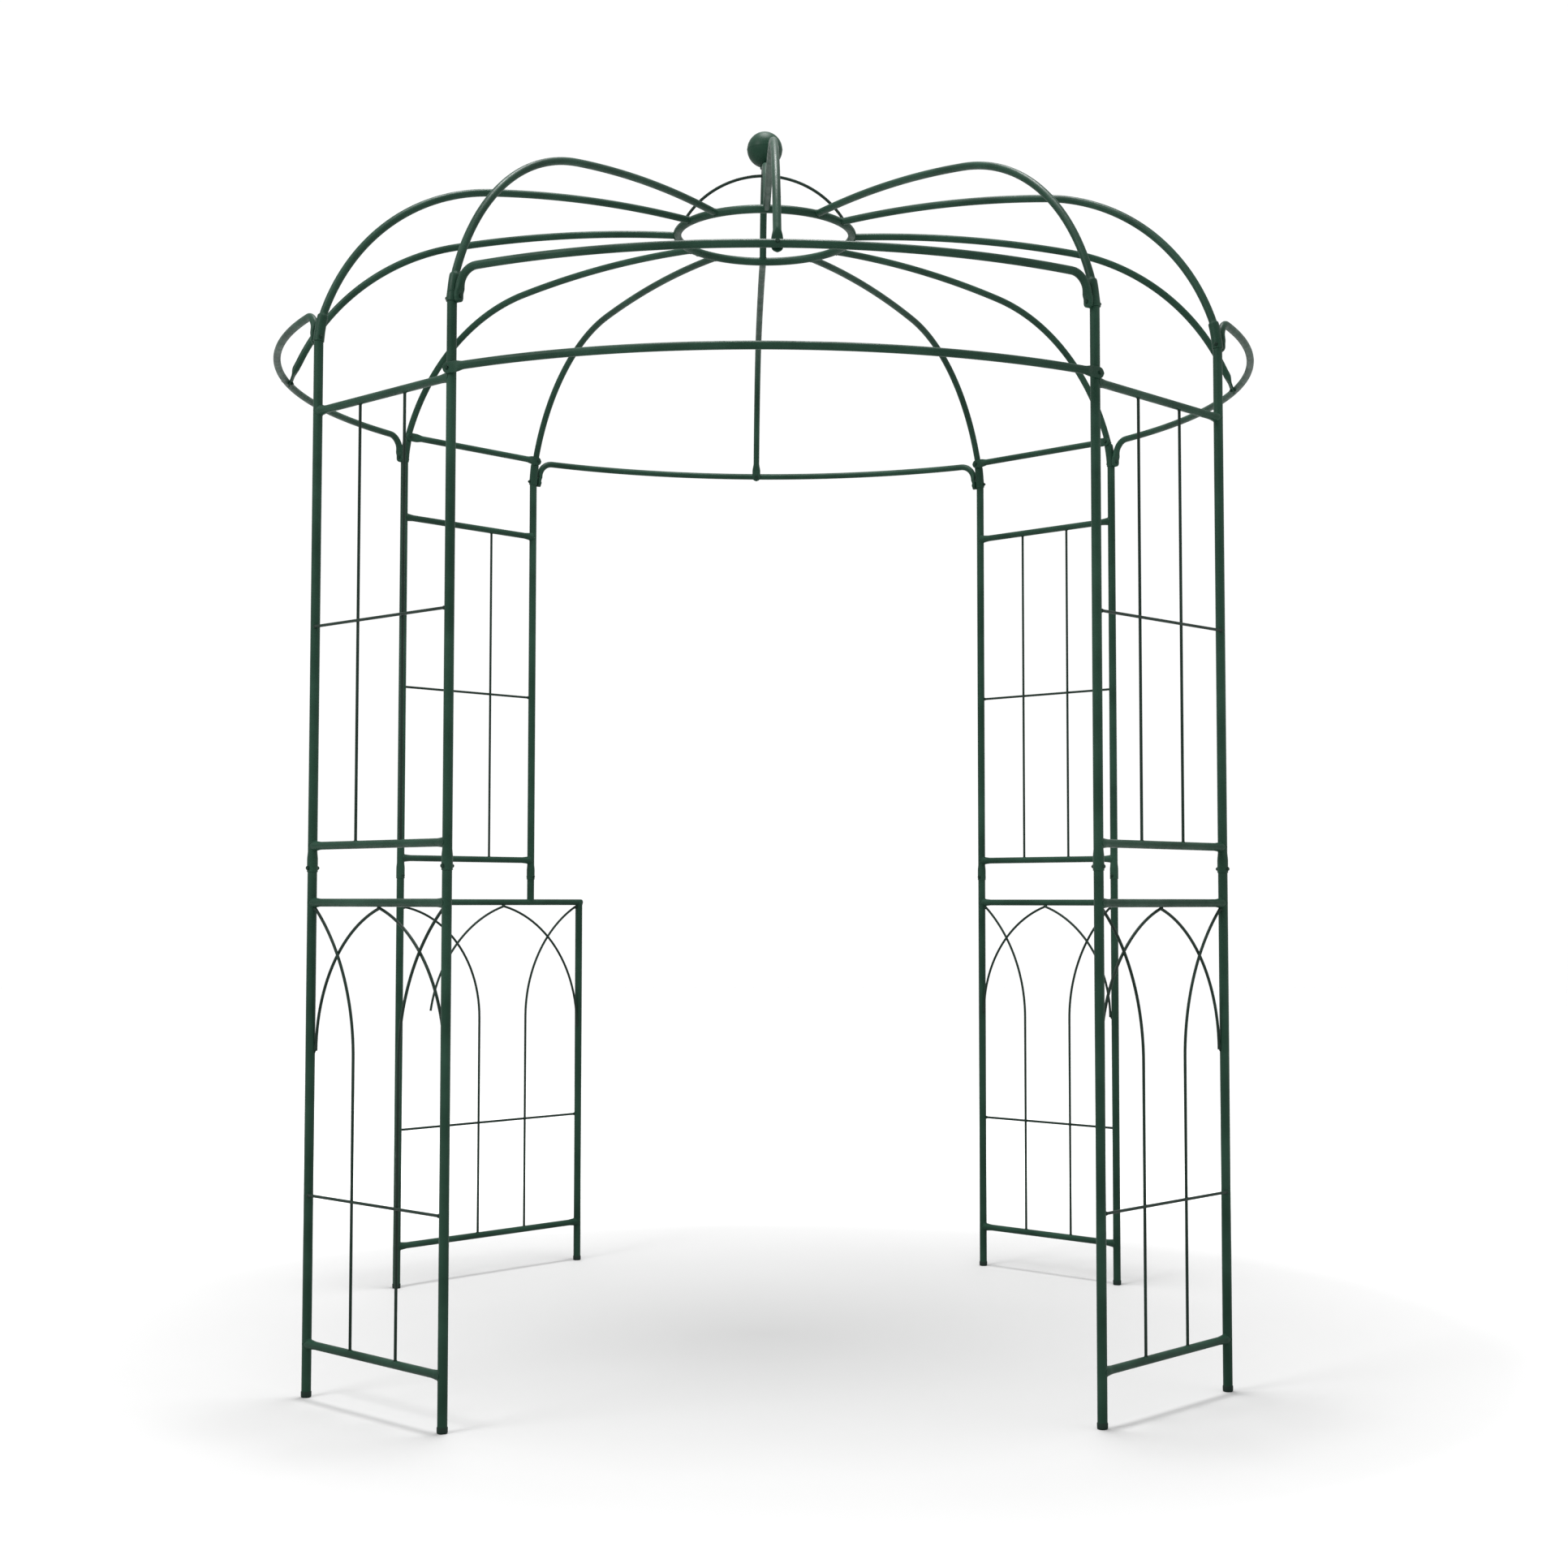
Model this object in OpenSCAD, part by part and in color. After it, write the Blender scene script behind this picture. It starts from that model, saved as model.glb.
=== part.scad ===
// Round garden pavilion of steel tube: four trellis panels, four doorways, and a dome of ribs.
// Millimetres, +Z up. The origin is on the ground under the crown; the front doorway faces -Y.

/* [Plan] */
// Radius of the circle that the leg axes stand on
plan_r = 1100; // [1000:10:1200]
// Distance between the two leg axes of a trellis panel
panel_w = 432; // [400:4:480]
// Leg spacing of the wider lower frame at the back left
wide_panel_w = 605; // [560:5:620]

/* [Tubes and rods] */
// Outer diameter of the legs and of the crown ring
leg_d = 19; // [18:0.5:20]
// Outer diameter of rails, ribs, arches and ties
tube_d = 16; // [15:0.5:17]
// Wall thickness of all tubes
wall = 1; // [0.8:0.1:1.5]
// Diameter of the thin lattice rods
rod_d = 6; // [5:0.5:7]
// Outer diameter of the belled tube ends that slip over a leg
bell_d = 21.6; // [21.6:0.1:22.4]

/* [Panel heights] */
// Height of the bottom rail
bottom_rail_z = 104; // [90:2:130]
// Height of the lower cross rod
lower_cross_z = 396; // [350:2:450]
// Height of the lower frame's top rail
mid_rail_z = 974; // [940:2:980]
// Height of the bolt that joins the upper frame to the lower frame
joint_z = 1043; // [1035:1:1050]
// Height of the upper frame's bottom rail
upper_rail_z = 1087; // [1080:1:1100]
// Height of the upper cross rod
upper_cross_z = 1527; // [1450:2:1600]
// Height of the upper frame's top rail
top_rail_z = 1965; // [1940:1:1980]

/* [Arches and dome] */
// Height of the bolt that joins leg, rib and doorway arch
eave_z = 2116; // [2110:1:2120]
// Height of the doorway arches and of the two back ties
arch_z = 2170; // [2166:1:2174]
// Height of the lower arch across the front doorway
low_arch_z = 1980; // [1976:1:1990]
// Height of the crown ring
ring_z = 2520; // [2518:1:2522]
// Radius of the crown ring's centre line
ring_r = 203; // [190:1:215]
// Bend radius of a rib from the crown to its shoulder
crown_arc_r = 2500; // [2500:10:2520]
// Bend radius of a rib's shoulder
shoulder_arc_r = 480; // [476:1:482]
// Height of the centre line of the crown's tube hoop at its apex
hoop_z = 2674; // [2650:1:2690]
// Radius of the ball finial
ball_r = 41; // [36:1:44]

/* [Hardware] */
// Shank radius of the bolts
bolt_r = 2; // [2:0.25:3]
// Distance from the centre of a bolt head or nut to its corners
hex_r = 4; // [4:0.1:5]
// Height of the bolt heads
head_h = 3; // [2:0.5:4]
// Height of the nuts
nut_h = 3.2; // [3:0.1:5]
// Height of the foot caps
cap_h = 12; // [8:1:16]

/* [Hidden] */
$fn = 48;
fit = 0.1;                 // clearance between pieces that touch
leg_r = leg_d / 2;
tube_r = tube_d / 2;
rod_r = rod_d / 2;
bell_r = bell_d / 2;
half_angle = asin(panel_w / 2 / plan_r);       // from a panel's middle to its leg, in plan
chord_r = plan_r * cos(half_angle);            // from the centre to a panel's plane
door_angle = 45 - half_angle;                  // from a doorway's middle to its leg, in plan

// Panels, by the plan angle of their middle
FL = 225;
FR = 315;
BR = 45;
BL = 135;

// Leg places along a panel, measured from its middle, counter-clockwise side last
upper_span = [-panel_w / 2, panel_w / 2];
wide_span = [panel_w / 2 - wide_panel_w, panel_w / 2];
function lower_span(p) = p == BL ? wide_span : upper_span;

// Lattice of a lower frame
standard_rods = [-panel_w / 6, panel_w / 6];   // the two upright rods
wide_rods = [-201, -44];
standard_apex = 0;                             // the tip of the pointed arch
wide_apex = -119;
bend_z = 670;                                  // where the rods begin to bend
corner_z = mid_rail_z - tube_r - rod_r - 1;    // where a bent rod meets the leg
tip_z = mid_rail_z - tube_r - rod_r;           // tip of the pointed arch
tangent_z = 680;                               // where the pointed arch runs out along a leg
wide_tangent_z = 637;
wide_end_z = 695;                              // where the wide arch's outer side stops, short of the leg
wide_bend_r = 340;                             // its bend radius
layer = rod_d + 0.05;                          // crossing rods lie side by side
beside = sqrt(pow(leg_r + rod_r + 0.05, 2) - layer * layer);   // from a leg's axis to a rod beside it
tip_gap = 1.3;                                 // half the gap between the two sides at the tip

// Leg and bell ends
foot_z = 2;                                    // the tube stands on the floor of its cap
cap_wall = 0.9;
plug_l = 6;                                    // of the cap's plug, above its rim
leg_top_z = joint_z + 19;
bell_end_z = joint_z - 8;
bell_h = 28;
bell_taper = 8;
upper_leg_top_z = eave_z + 14;
socket_end_z = eave_z - 12;
socket_top_z = eave_z + 20;
socket_taper = 14;

// Rib outline: a long crown arc, then the shoulder arc, both in the rib's upright plane
crest_r = 300;                                 // plan radius of a rib's highest point
shoulder_r = 715;                              // plan radius where the shoulder starts
crown_phi = asin((ring_r + leg_r + fit - crest_r) / crown_arc_r);
shoulder_phi = asin((shoulder_r - crest_r) / crown_arc_r);
crown_c = [crest_r, ring_z - crown_arc_r * cos(crown_phi)];
shoulder_c = crown_c + (crown_arc_r - shoulder_arc_r) * [sin(shoulder_phi), cos(shoulder_phi)];
foot_phi = asin((plan_r - shoulder_c[0]) / shoulder_arc_r);
tab_phi = atan2(plan_r - shoulder_c[0], arch_z - shoulder_c[1]);   // where a middle rib meets its arch
tie_r = shoulder_c[0] + sqrt(pow(shoulder_arc_r, 2) - pow(arch_z - shoulder_c[1], 2));

butt_gap = 0.1;                                // gap at a butt weld, bridged by a core
seam_l = 4;                                    // length of that core

// Crown
spigot_l = 36;                                 // from the ring's bore out into each rib
crown_rod_d = rod_d + 1;
collar_r = 11;
collar_h = 3;                                  // above the hoop
collar_drop = 3;                               // below the hoop's highest point
stud_r = 4;
stud_l = 32;
sleeve_r = 8;                                  // threaded sleeve inside the ball
sleeve_l = 34;
ball_wall = 2;
ball_sink = 1.5;                               // how far the ball sits into its collar

// Crimped tube ends
tab_t = 4;
tab_w = 22;
tab_l = 15;
taper_l = 18;

// Doorway arch ends
arch_middle = 15;                              // half the straight length that carries the bolt
bend_r = 38;
drop_x = bell_r + tube_r + 0.4;                // from the leg axis to the arch's turned-down end
drop_turn = drop_x / plan_r * 180 / PI;
bend_lead = 6;                                 // short straight run between the arch and its end bend
bend_turn = atan((bend_lead + bend_r + butt_gap) / plan_r);
crimp_t = 10;                                  // thickness of the pressed end
crimp_w = 20;
crimp_h = 16;                                  // from the bolt up to the round tube
crimp_x = bell_r + 0.3;                        // its face towards the leg

// Bolt lengths under the head
short_bolt = 28;
long_bolt = 38;
tab_bolt = 26;
tie_nut_gap = 1.2;                             // the nut clears the rib's leaning side

low_arch_r = plan_r + leg_r + tab_t / 2 + fit;
tie_x = tie_r * cos(half_angle) - tube_r - tab_t / 2 - fit;
tie_y = tie_r * sin(half_angle);

// ---- shared shapes ----

// Stands its children on a panel: X points outward, Y runs along the panel, Z up
module on_panel(p) { rotate([0, 0, p]) translate([chord_r, 0, 0]) children(); }

module pipe(d, h) {
    difference() {
        cylinder(d = d, h = h);
        translate([0, 0, -1]) cylinder(d = d - 2 * wall, h = h + 2);
    }
}

// A pipe bent to part of a circle about Z, from plan angle a by the sweep s
module bent_pipe(r, a, s, d) {
    rotate([0, 0, a]) rotate_extrude(angle = s, $fn = 180) translate([r, 0]) difference() {
        circle(d = d);
        circle(d = d - 2 * wall);
    }
}

module bent_rod(r, a, s, d) {
    rotate([0, 0, a]) rotate_extrude(angle = s, $fn = 180) translate([r, 0]) circle(d = d);
}

// Short core across a butt weld of two pipes, centred on the gap between them, with its axis along Z
module pipe_seam(h = seam_l) { cylinder(d = tube_d - wall, h = h, center = true); }
module rod_seam() { cylinder(r = rod_r - 0.5, h = seam_l, center = true); }

// Pressed end of a tube that starts at Z = 0: a taper, then a flat tab whose faces look along X
module pressed_end() {
    intersection() {
        rotate([90, 0, 0]) linear_extrude(tab_w, center = true)
            polygon([[-tube_r, 0], [tube_r, 0], [tab_t / 2, taper_l], [-tab_t / 2, taper_l]]);
        rotate([90, 0, 90]) linear_extrude(tube_d, center = true)
            polygon([[-tube_r, 0], [tube_r, 0], [tab_w / 2, taper_l], [-tab_w / 2, taper_l]]);
        cylinder(d = tab_w, h = taper_l);
    }
    translate([-tab_t / 2, -tab_w / 2, taper_l - 0.01]) cube([tab_t, tab_w, tab_l]);
    translate([-tab_t / 2, 0, taper_l + tab_l]) rotate([0, 90, 0]) cylinder(d = tab_w, h = tab_t);
}

// Hole for a bolt that runs along X
module bolt_hole(l) { rotate([0, 90, 0]) cylinder(r = bolt_r + 0.2, h = l, center = true); }

// Bolt along X: its head's face is at x = 0 and the shank runs towards -X
module bolt(l) {
    rotate([0, 90, 0]) cylinder(r = hex_r, h = head_h, $fn = 6);
    translate([-l, 0, 0]) rotate([0, 90, 0]) cylinder(r = bolt_r, h = l + 0.01);
}

// Nut along X from x = 0 towards -X
module nut() {
    translate([-nut_h, 0, 0]) rotate([0, 90, 0]) difference() {
        cylinder(r = hex_r, h = nut_h, $fn = 6);
        translate([0, 0, -1]) cylinder(r = bolt_r + fit / 2, h = nut_h + 2);
    }
}

// ---- panels ----

module lower_legs(p) {
    span = lower_span(p);
    color([0.18, 0.31, 0.25]) on_panel(p) {
        for (y = upper_span) {
            stub = y != span[0] && y != span[1];
            low = stub ? mid_rail_z + tube_r : foot_z;
            translate([0, y, 0]) difference() {
                translate([0, 0, low]) pipe(leg_d, leg_top_z - low);
                translate([0, 0, joint_z]) bolt_hole(leg_d * 2);
            }
        }
        if (p == BL) translate([0, span[0], foot_z]) pipe(leg_d, mid_rail_z + tube_r - foot_z);
    }
}

module rail(span, z) {
    difference() {
        translate([0, span[0], z]) rotate([-90, 0, 0]) pipe(tube_d, span[1] - span[0]);
        for (y = span) translate([0, y, z - leg_d]) cylinder(r = leg_r + 0.02, h = leg_d * 2);
    }
}

module lower_rails(p) {
    color([0.18, 0.31, 0.25]) on_panel(p) {
        rail(lower_span(p), bottom_rail_z);
        rail(lower_span(p), mid_rail_z);
    }
}

// Upright rod that bends outward at its top and ends on a leg's side
module corner_rod(y, leg_y) {
    dir = leg_y > y ? 1 : -1;
    reach = abs(leg_y - y) - leg_r - rod_r;
    rise = corner_z - bend_z;
    r = (reach * reach + rise * rise) / (2 * reach);
    sweep = asin(rise / r);
    low = bottom_rail_z + tube_r;
    translate([0, y, low]) cylinder(r = rod_r, h = bend_z - low - butt_gap);
    translate([0, y, bend_z]) rod_seam();
    translate([0, y + dir * r, bend_z]) rotate([90, 0, 90])
        bent_rod(r, dir > 0 ? 180 - sweep : 0, sweep, rod_d);
}

// One side of the pointed arch: from the tip down to where it lies along a leg
module pointed_side(tip_y, leg_y, tangent_z) {
    dir = leg_y > tip_y ? 1 : -1;
    reach = abs(leg_y - tip_y) - beside - tip_gap;
    rise = tip_z - tangent_z;
    r = (reach * reach + rise * rise) / (2 * reach);
    sweep = asin(rise / r);
    translate([0, leg_y - dir * (beside + r), tangent_z])
        rotate([90, 0, 90]) bent_rod(r, dir > 0 ? 0 : 180 - sweep, sweep, rod_d);
}

// The wide arch's outer side, which crosses the corner rod and stops short of the leg
module wide_pointed_side(tip_y) {
    low = asin((wide_end_z - wide_tangent_z) / wide_bend_r);
    high = asin((tip_z - wide_tangent_z) / wide_bend_r);
    translate([0, tip_y + tip_gap - wide_bend_r * cos(high), wide_tangent_z]) rotate([90, 0, 90])
        bent_rod(wide_bend_r, low, high - low, rod_d);
}

module lower_lattice(p) {
    span = lower_span(p);
    rods = p == BL ? wide_rods : standard_rods;
    tip = p == BL ? wide_apex : standard_apex;
    color([0.14, 0.22, 0.18]) on_panel(p) {
        corner_rod(rods[0], span[0]);
        corner_rod(rods[1], span[1]);
        translate([layer, span[0], lower_cross_z]) rotate([-90, 0, 0]) difference() {
            cylinder(r = rod_r, h = span[1] - span[0]);
            for (y = [0, span[1] - span[0]]) translate([-layer, 0, y]) rotate([90, 0, 0])
                cylinder(r = leg_r + 0.02, h = leg_d, center = true);
        }
        translate([-layer, 0, 0]) {
            pointed_side(tip, span[0], p == BL ? wide_tangent_z : tangent_z);
            if (p == BL) wide_pointed_side(tip);
            else pointed_side(tip, span[1], tangent_z);
        }
    }
}

module upper_legs(p) {
    color([0.18, 0.31, 0.25]) on_panel(p) for (y = upper_span) translate([0, y, 0]) difference() {
        union() {
            translate([0, 0, leg_top_z + fit]) cylinder(r = leg_r, h = upper_leg_top_z - leg_top_z - fit);
            translate([0, 0, bell_end_z]) cylinder(r = bell_r, h = bell_h);
            translate([0, 0, bell_end_z + bell_h]) cylinder(r1 = bell_r, r2 = leg_r, h = bell_taper);
        }
        translate([0, 0, leg_top_z]) cylinder(r = leg_r - wall, h = upper_leg_top_z);
        translate([0, 0, bell_end_z - 1]) cylinder(r = leg_r + fit, h = leg_top_z + fit - bell_end_z + 1);
        translate([0, 0, joint_z]) bolt_hole(leg_d * 2);
        rotate([0, 0, y > 0 ? half_angle : -half_angle]) {
            translate([0, 0, eave_z]) rotate([0, 0, 90]) bolt_hole(leg_d * 2);
            if (low_arch_leg(p, y)) translate([0, 0, low_arch_z]) bolt_hole(leg_d * 2);
        }
    }
}

// The two legs beside the front doorway carry the low arch
function low_arch_leg(p, y) = (p == FL && y > 0) || (p == FR && y < 0);

module upper_rails(p) {
    color([0.18, 0.31, 0.25]) on_panel(p) {
        rail(upper_span, upper_rail_z);
        rail(upper_span, top_rail_z);
    }
}

module upper_lattice(p) {
    low = upper_rail_z + tube_r;
    color([0.14, 0.22, 0.18]) on_panel(p) {
        for (y = standard_rods) translate([0, y, low]) cylinder(r = rod_r, h = top_rail_z - tube_r - low);
        translate([layer, -panel_w / 2, upper_cross_z]) rotate([-90, 0, 0]) difference() {
            cylinder(r = rod_r, h = panel_w);
            for (y = [0, panel_w]) translate([-layer, 0, y]) rotate([90, 0, 0])
                cylinder(r = leg_r + 0.02, h = leg_d, center = true);
        }
    }
}

// ---- dome ----

// The two bends of a rib, ending at the slope phi
module rib_bends(phi) {
    gap_turn = butt_gap / crown_arc_r * 180 / PI;
    rotate([90, 0, 0]) {
        translate([crown_c[0], crown_c[1], 0])
            bent_pipe(crown_arc_r, 90 - shoulder_phi + gap_turn, shoulder_phi - crown_phi - gap_turn, tube_d);
        translate([shoulder_c[0], shoulder_c[1], 0])
            bent_pipe(shoulder_arc_r, 90 - phi, phi - shoulder_phi, tube_d);
        translate([crown_c[0], crown_c[1], 0]) rotate([0, 0, 90 - shoulder_phi])
            translate([crown_arc_r, 0, 0]) rotate([90, 0, 0]) pipe_seam();
    }
}

module leg_rib(angle) {
    color([0.20, 0.35, 0.28]) rotate([0, 0, angle]) {
        rib_bends(foot_phi - 0.5);
        translate([plan_r, 0, 0]) difference() {
            union() {
                translate([0, 0, socket_end_z]) cylinder(r = bell_r, h = socket_top_z - socket_end_z);
                translate([0, 0, socket_top_z]) cylinder(r1 = bell_r, r2 = tube_r - wall, h = socket_taper);
            }
            translate([0, 0, socket_end_z - 1])
                cylinder(r = leg_r + fit, h = upper_leg_top_z - socket_end_z + 1 + fit);
            translate([0, 0, eave_z]) rotate([0, 0, 90]) bolt_hole(bell_d * 2);
        }
    }
}

module middle_rib(angle) {
    lead = (taper_l + tab_l + 1) / shoulder_arc_r * 180 / PI;
    color([0.20, 0.35, 0.28]) rotate([0, 0, angle]) {
        rib_bends(tab_phi - lead);
        translate([shoulder_c[0], 0, shoulder_c[1]]) rotate([0, tab_phi - lead - 90, 0])
            translate([shoulder_arc_r, 0, 0]) pipe_seam(8);
        translate([shoulder_c[0], 0, shoulder_c[1]]) rotate([0, tab_phi - 90, 0]) difference() {
            translate([shoulder_arc_r, 0, taper_l + tab_l]) rotate([180, 0, 0]) pressed_end();
            translate([shoulder_arc_r, 0, 0]) bolt_hole(tube_d);
        }
    }
}

// Pressed block at the foot of a doorway arch, beside the leg at the origin; side is 1 or -1
module arch_foot(side) {
    difference() {
        union() {
            translate([0, side * (crimp_x + crimp_t / 2), eave_z]) rotate([90, 0, 0])
                cylinder(d = crimp_w, h = crimp_t, center = true);
            translate([-crimp_w / 2, side > 0 ? crimp_x : -crimp_x - crimp_t, eave_z])
                cube([crimp_w, crimp_t, crimp_h]);
        }
        translate([0, 0, eave_z]) rotate([0, 0, 90]) bolt_hole(bell_d * 4);
    }
}

module doorway_arch(angle) {
    start = door_angle - drop_turn - bend_turn;
    turn = atan((arch_middle + butt_gap) / plan_r);
    color([0.20, 0.35, 0.28]) rotate([0, 0, angle]) {
        difference() {
            translate([plan_r, -arch_middle, arch_z]) rotate([-90, 0, 0]) pipe(tube_d, 2 * arch_middle);
            translate([shoulder_c[0], 0, shoulder_c[1]]) rotate([0, tab_phi - 90, 0])
                translate([shoulder_arc_r, 0, 0]) bolt_hole(tube_d * 4);
        }
        for (side = [-1, 1]) {
            translate([plan_r, side * arch_middle, arch_z]) rotate([90, 0, 0]) pipe_seam();
            translate([0, 0, arch_z]) bent_pipe(plan_r, side > 0 ? turn : -start, start - turn, tube_d);
            rotate([0, 0, side * start]) translate([plan_r, 0, arch_z]) arch_end(side);
            rotate([0, 0, side * door_angle]) translate([plan_r, 0, 0]) arch_foot(-side);
        }
    }
}

// The turned-down end of a doorway arch, from the arch's cut at the origin; side is 1 or -1
module arch_end(side) {
    translate([0, side * butt_gap, 0]) rotate([-side * 90, 0, 0]) pipe(tube_d, bend_lead - butt_gap);
    rotate([90, 0, 0]) pipe_seam();
    translate([0, side * (bend_lead + butt_gap), -bend_r]) {
        rotate([90, 0, 90]) bent_pipe(bend_r, side > 0 ? 0 : 90, 90, tube_d);
        translate([0, 0, bend_r]) rotate([90, 0, 0]) pipe_seam();
        translate([0, side * bend_r, eave_z + crimp_h - arch_z + bend_r]) pipe_seam(8);
    }
}

// Low arch across the front doorway, lapped on the outside of its two legs
module front_low_arch() {
    lead = (taper_l + tab_l) / low_arch_r * 180 / PI;
    color([0.20, 0.35, 0.28]) rotate([0, 0, 270]) translate([0, 0, low_arch_z]) {
        bent_pipe(low_arch_r, lead - door_angle, 2 * (door_angle - lead), tube_d);
        for (side = [-1, 1]) rotate([0, 0, side * door_angle]) translate([low_arch_r, 0, 0]) difference() {
            translate([0, -side * (taper_l + tab_l), 0]) rotate([-side * 90, 0, 0]) pressed_end();
            bolt_hole(tube_d);
        }
    }
}

// Straight tie across the top of a back panel, lapped on the inside of its two ribs
module tie(p) {
    inset = taper_l + tab_l;
    color([0.20, 0.35, 0.28]) rotate([0, 0, p]) translate([tie_x, 0, arch_z]) {
        translate([0, inset - tie_y, 0]) rotate([-90, 0, 0]) pipe(tube_d, 2 * (tie_y - inset));
        for (side = [-1, 1]) difference() {
            translate([0, side * (tie_y - inset), 0]) rotate([-side * 90, 0, 0]) pressed_end();
            translate([0, side * tie_y, 0]) bolt_hole(tube_d);
        }
    }
}

// ---- crown ----

module crown_ring() {
    spigot_r = tube_r - wall - fit;
    color([0.16, 0.28, 0.22]) {
        translate([0, 0, ring_z]) bent_pipe(ring_r, 0, 360, leg_d);
        for (i = [0 : 3]) for (a = [-door_angle, 0, door_angle]) rotate([0, 0, 90 * i + a])
            translate([ring_r, 0, ring_z]) rotate([0, 90 + crown_phi, 0]) translate([0, 0, leg_r - wall])
                cylinder(r = spigot_r, h = spigot_l);
    }
}

// Hoop over the ring in the plane X = 0, as an arc through both sides of the ring
module crown_hoop() {
    rise = hoop_z - ring_z;
    r = (ring_r * ring_r + rise * rise) / (2 * rise);
    low = asin((ring_z + leg_r + 1 - hoop_z + r) / r);
    color([0.16, 0.28, 0.22])
        translate([0, 0, hoop_z - r]) rotate([90, 0, 90]) bent_pipe(r, low, 180 - 2 * low, tube_d);
}

module crown_rod() {
    apex = hoop_z - tube_r - crown_rod_d / 2 - fit;
    rise = apex - ring_z;
    r = (ring_r * ring_r + rise * rise) / (2 * rise);
    low = asin((ring_z + leg_r - 1 - apex + r) / r);
    color([0.12, 0.18, 0.15]) translate([0, 0, apex - r]) rotate([90, 0, 0])
        bent_rod(r, low, 180 - 2 * low, crown_rod_d);
}

hoop_top_z = hoop_z + tube_r;
ball_z = hoop_top_z + collar_h + ball_r - ball_sink;   // height of the ball's centre

module finial_ball() {
    color([0.20, 0.35, 0.28]) difference() {
        union() {
            translate([0, 0, ball_z]) difference() {
                sphere(r = ball_r, $fn = 96);
                sphere(r = ball_r - ball_wall, $fn = 96);
            }
            translate([0, 0, hoop_top_z + collar_h + 2 * fit]) cylinder(r = sleeve_r, h = sleeve_l);
        }
        translate([0, 0, hoop_z]) cylinder(r = ball_r, h = tube_r + collar_h + 2 * fit);
        translate([0, 0, hoop_top_z]) cylinder(r = stud_r + fit / 2, h = stud_l + 2);
    }
}

module finial_stud() {
    color([0.10, 0.12, 0.11]) translate([0, 0, hoop_top_z]) cylinder(r = stud_r, h = stud_l);
}

module finial_collar() {
    color([0.12, 0.18, 0.15]) difference() {
        translate([0, 0, hoop_top_z - collar_drop]) cylinder(r = collar_r, h = collar_drop + collar_h);
        translate([0, 0, hoop_z]) rotate([90, 0, 0])
            cylinder(r = tube_r + fit, h = 4 * collar_r, center = true);
        translate([0, 0, hoop_z]) cylinder(r = stud_r + fit, h = ball_r);
    }
}

// ---- feet and fasteners ----

// Cap over the foot of each leg, with a plug inside the tube
module foot_caps() {
    color([0.10, 0.13, 0.11]) for (p = [FL, FR, BR, BL], y = lower_span(p)) on_panel(p) translate([0, y, 0]) {
        difference() {
            cylinder(r = leg_r + cap_wall, h = cap_h);
            translate([0, 0, foot_z - fit]) cylinder(r = leg_r + fit, h = cap_h);
        }
        cylinder(r = leg_r - wall - fit, h = cap_h + plug_l);
    }
}

// Each leg of each panel, with X outward from the panel
module at_joints() {
    for (p = [FL, FR, BR, BL], y = upper_span) on_panel(p) translate([0, y, joint_z]) children();
}

module joint_bolts() {
    color([0.12, 0.14, 0.13]) at_joints() translate([bell_r + fit, 0, 0]) bolt(short_bolt);
}
module joint_nuts() { color([0.12, 0.14, 0.13]) at_joints() translate([-bell_r - fit, 0, 0]) nut(); }

// Each leg top, with X along the plan circle towards the doorway
module at_eaves() {
    for (door = [0 : 90 : 270]) for (side = [-1, 1])
        rotate([0, 0, door + side * door_angle]) translate([plan_r, 0, eave_z])
            rotate([0, 0, -side * 90]) children();
}

module eave_bolts() {
    color([0.12, 0.14, 0.13]) at_eaves() translate([crimp_x + crimp_t + fit, 0, 0]) bolt(long_bolt);
}
module eave_nuts() { color([0.12, 0.14, 0.13]) at_eaves() translate([-bell_r - fit, 0, 0]) nut(); }

// Each middle rib's joint with its arch, with X out along the bolt
module at_middles() {
    for (a = [0 : 90 : 270]) rotate([0, 0, a]) translate([shoulder_c[0], 0, shoulder_c[1]])
        rotate([0, tab_phi - 90, 0]) children();
}

arch_gap = norm([plan_r - shoulder_c[0], arch_z - shoulder_c[1]]);   // from the shoulder's centre to the arch

module middle_rib_bolts() {
    color([0.10, 0.12, 0.11]) at_middles() translate([arch_gap + tube_r + fit, 0, 0]) bolt(tab_bolt);
}
module middle_rib_nuts() {
    color([0.10, 0.12, 0.11]) at_middles() translate([shoulder_arc_r - tab_t / 2 - fit, 0, 0]) nut();
}

// Each end of the low arch, with X outward
module at_low_arch() {
    for (side = [-1, 1])
        rotate([0, 0, 270 + side * door_angle]) translate([plan_r, 0, low_arch_z]) children();
}

module low_arch_bolts() {
    color([0.12, 0.14, 0.13]) at_low_arch() translate([leg_r + tab_t + 3 * fit, 0, 0]) bolt(short_bolt);
}
module low_arch_nuts() { color([0.12, 0.14, 0.13]) at_low_arch() translate([-leg_r - fit, 0, 0]) nut(); }

// Each end of each tie, with X towards the crown
module at_ties() {
    for (p = [BR, BL]) rotate([0, 0, p]) for (side = [-1, 1])
        translate([tie_x, side * tie_y, arch_z]) rotate([0, 0, 180]) children();
}

module tie_bolts() {
    color([0.12, 0.14, 0.13]) at_ties() translate([tab_t / 2 + fit, 0, 0]) bolt(short_bolt);
}
module tie_nuts() {
    color([0.12, 0.14, 0.13]) at_ties() translate([-tab_t / 2 - tube_d - tie_nut_gap, 0, 0]) nut();
}

// ---- parts ----

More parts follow.
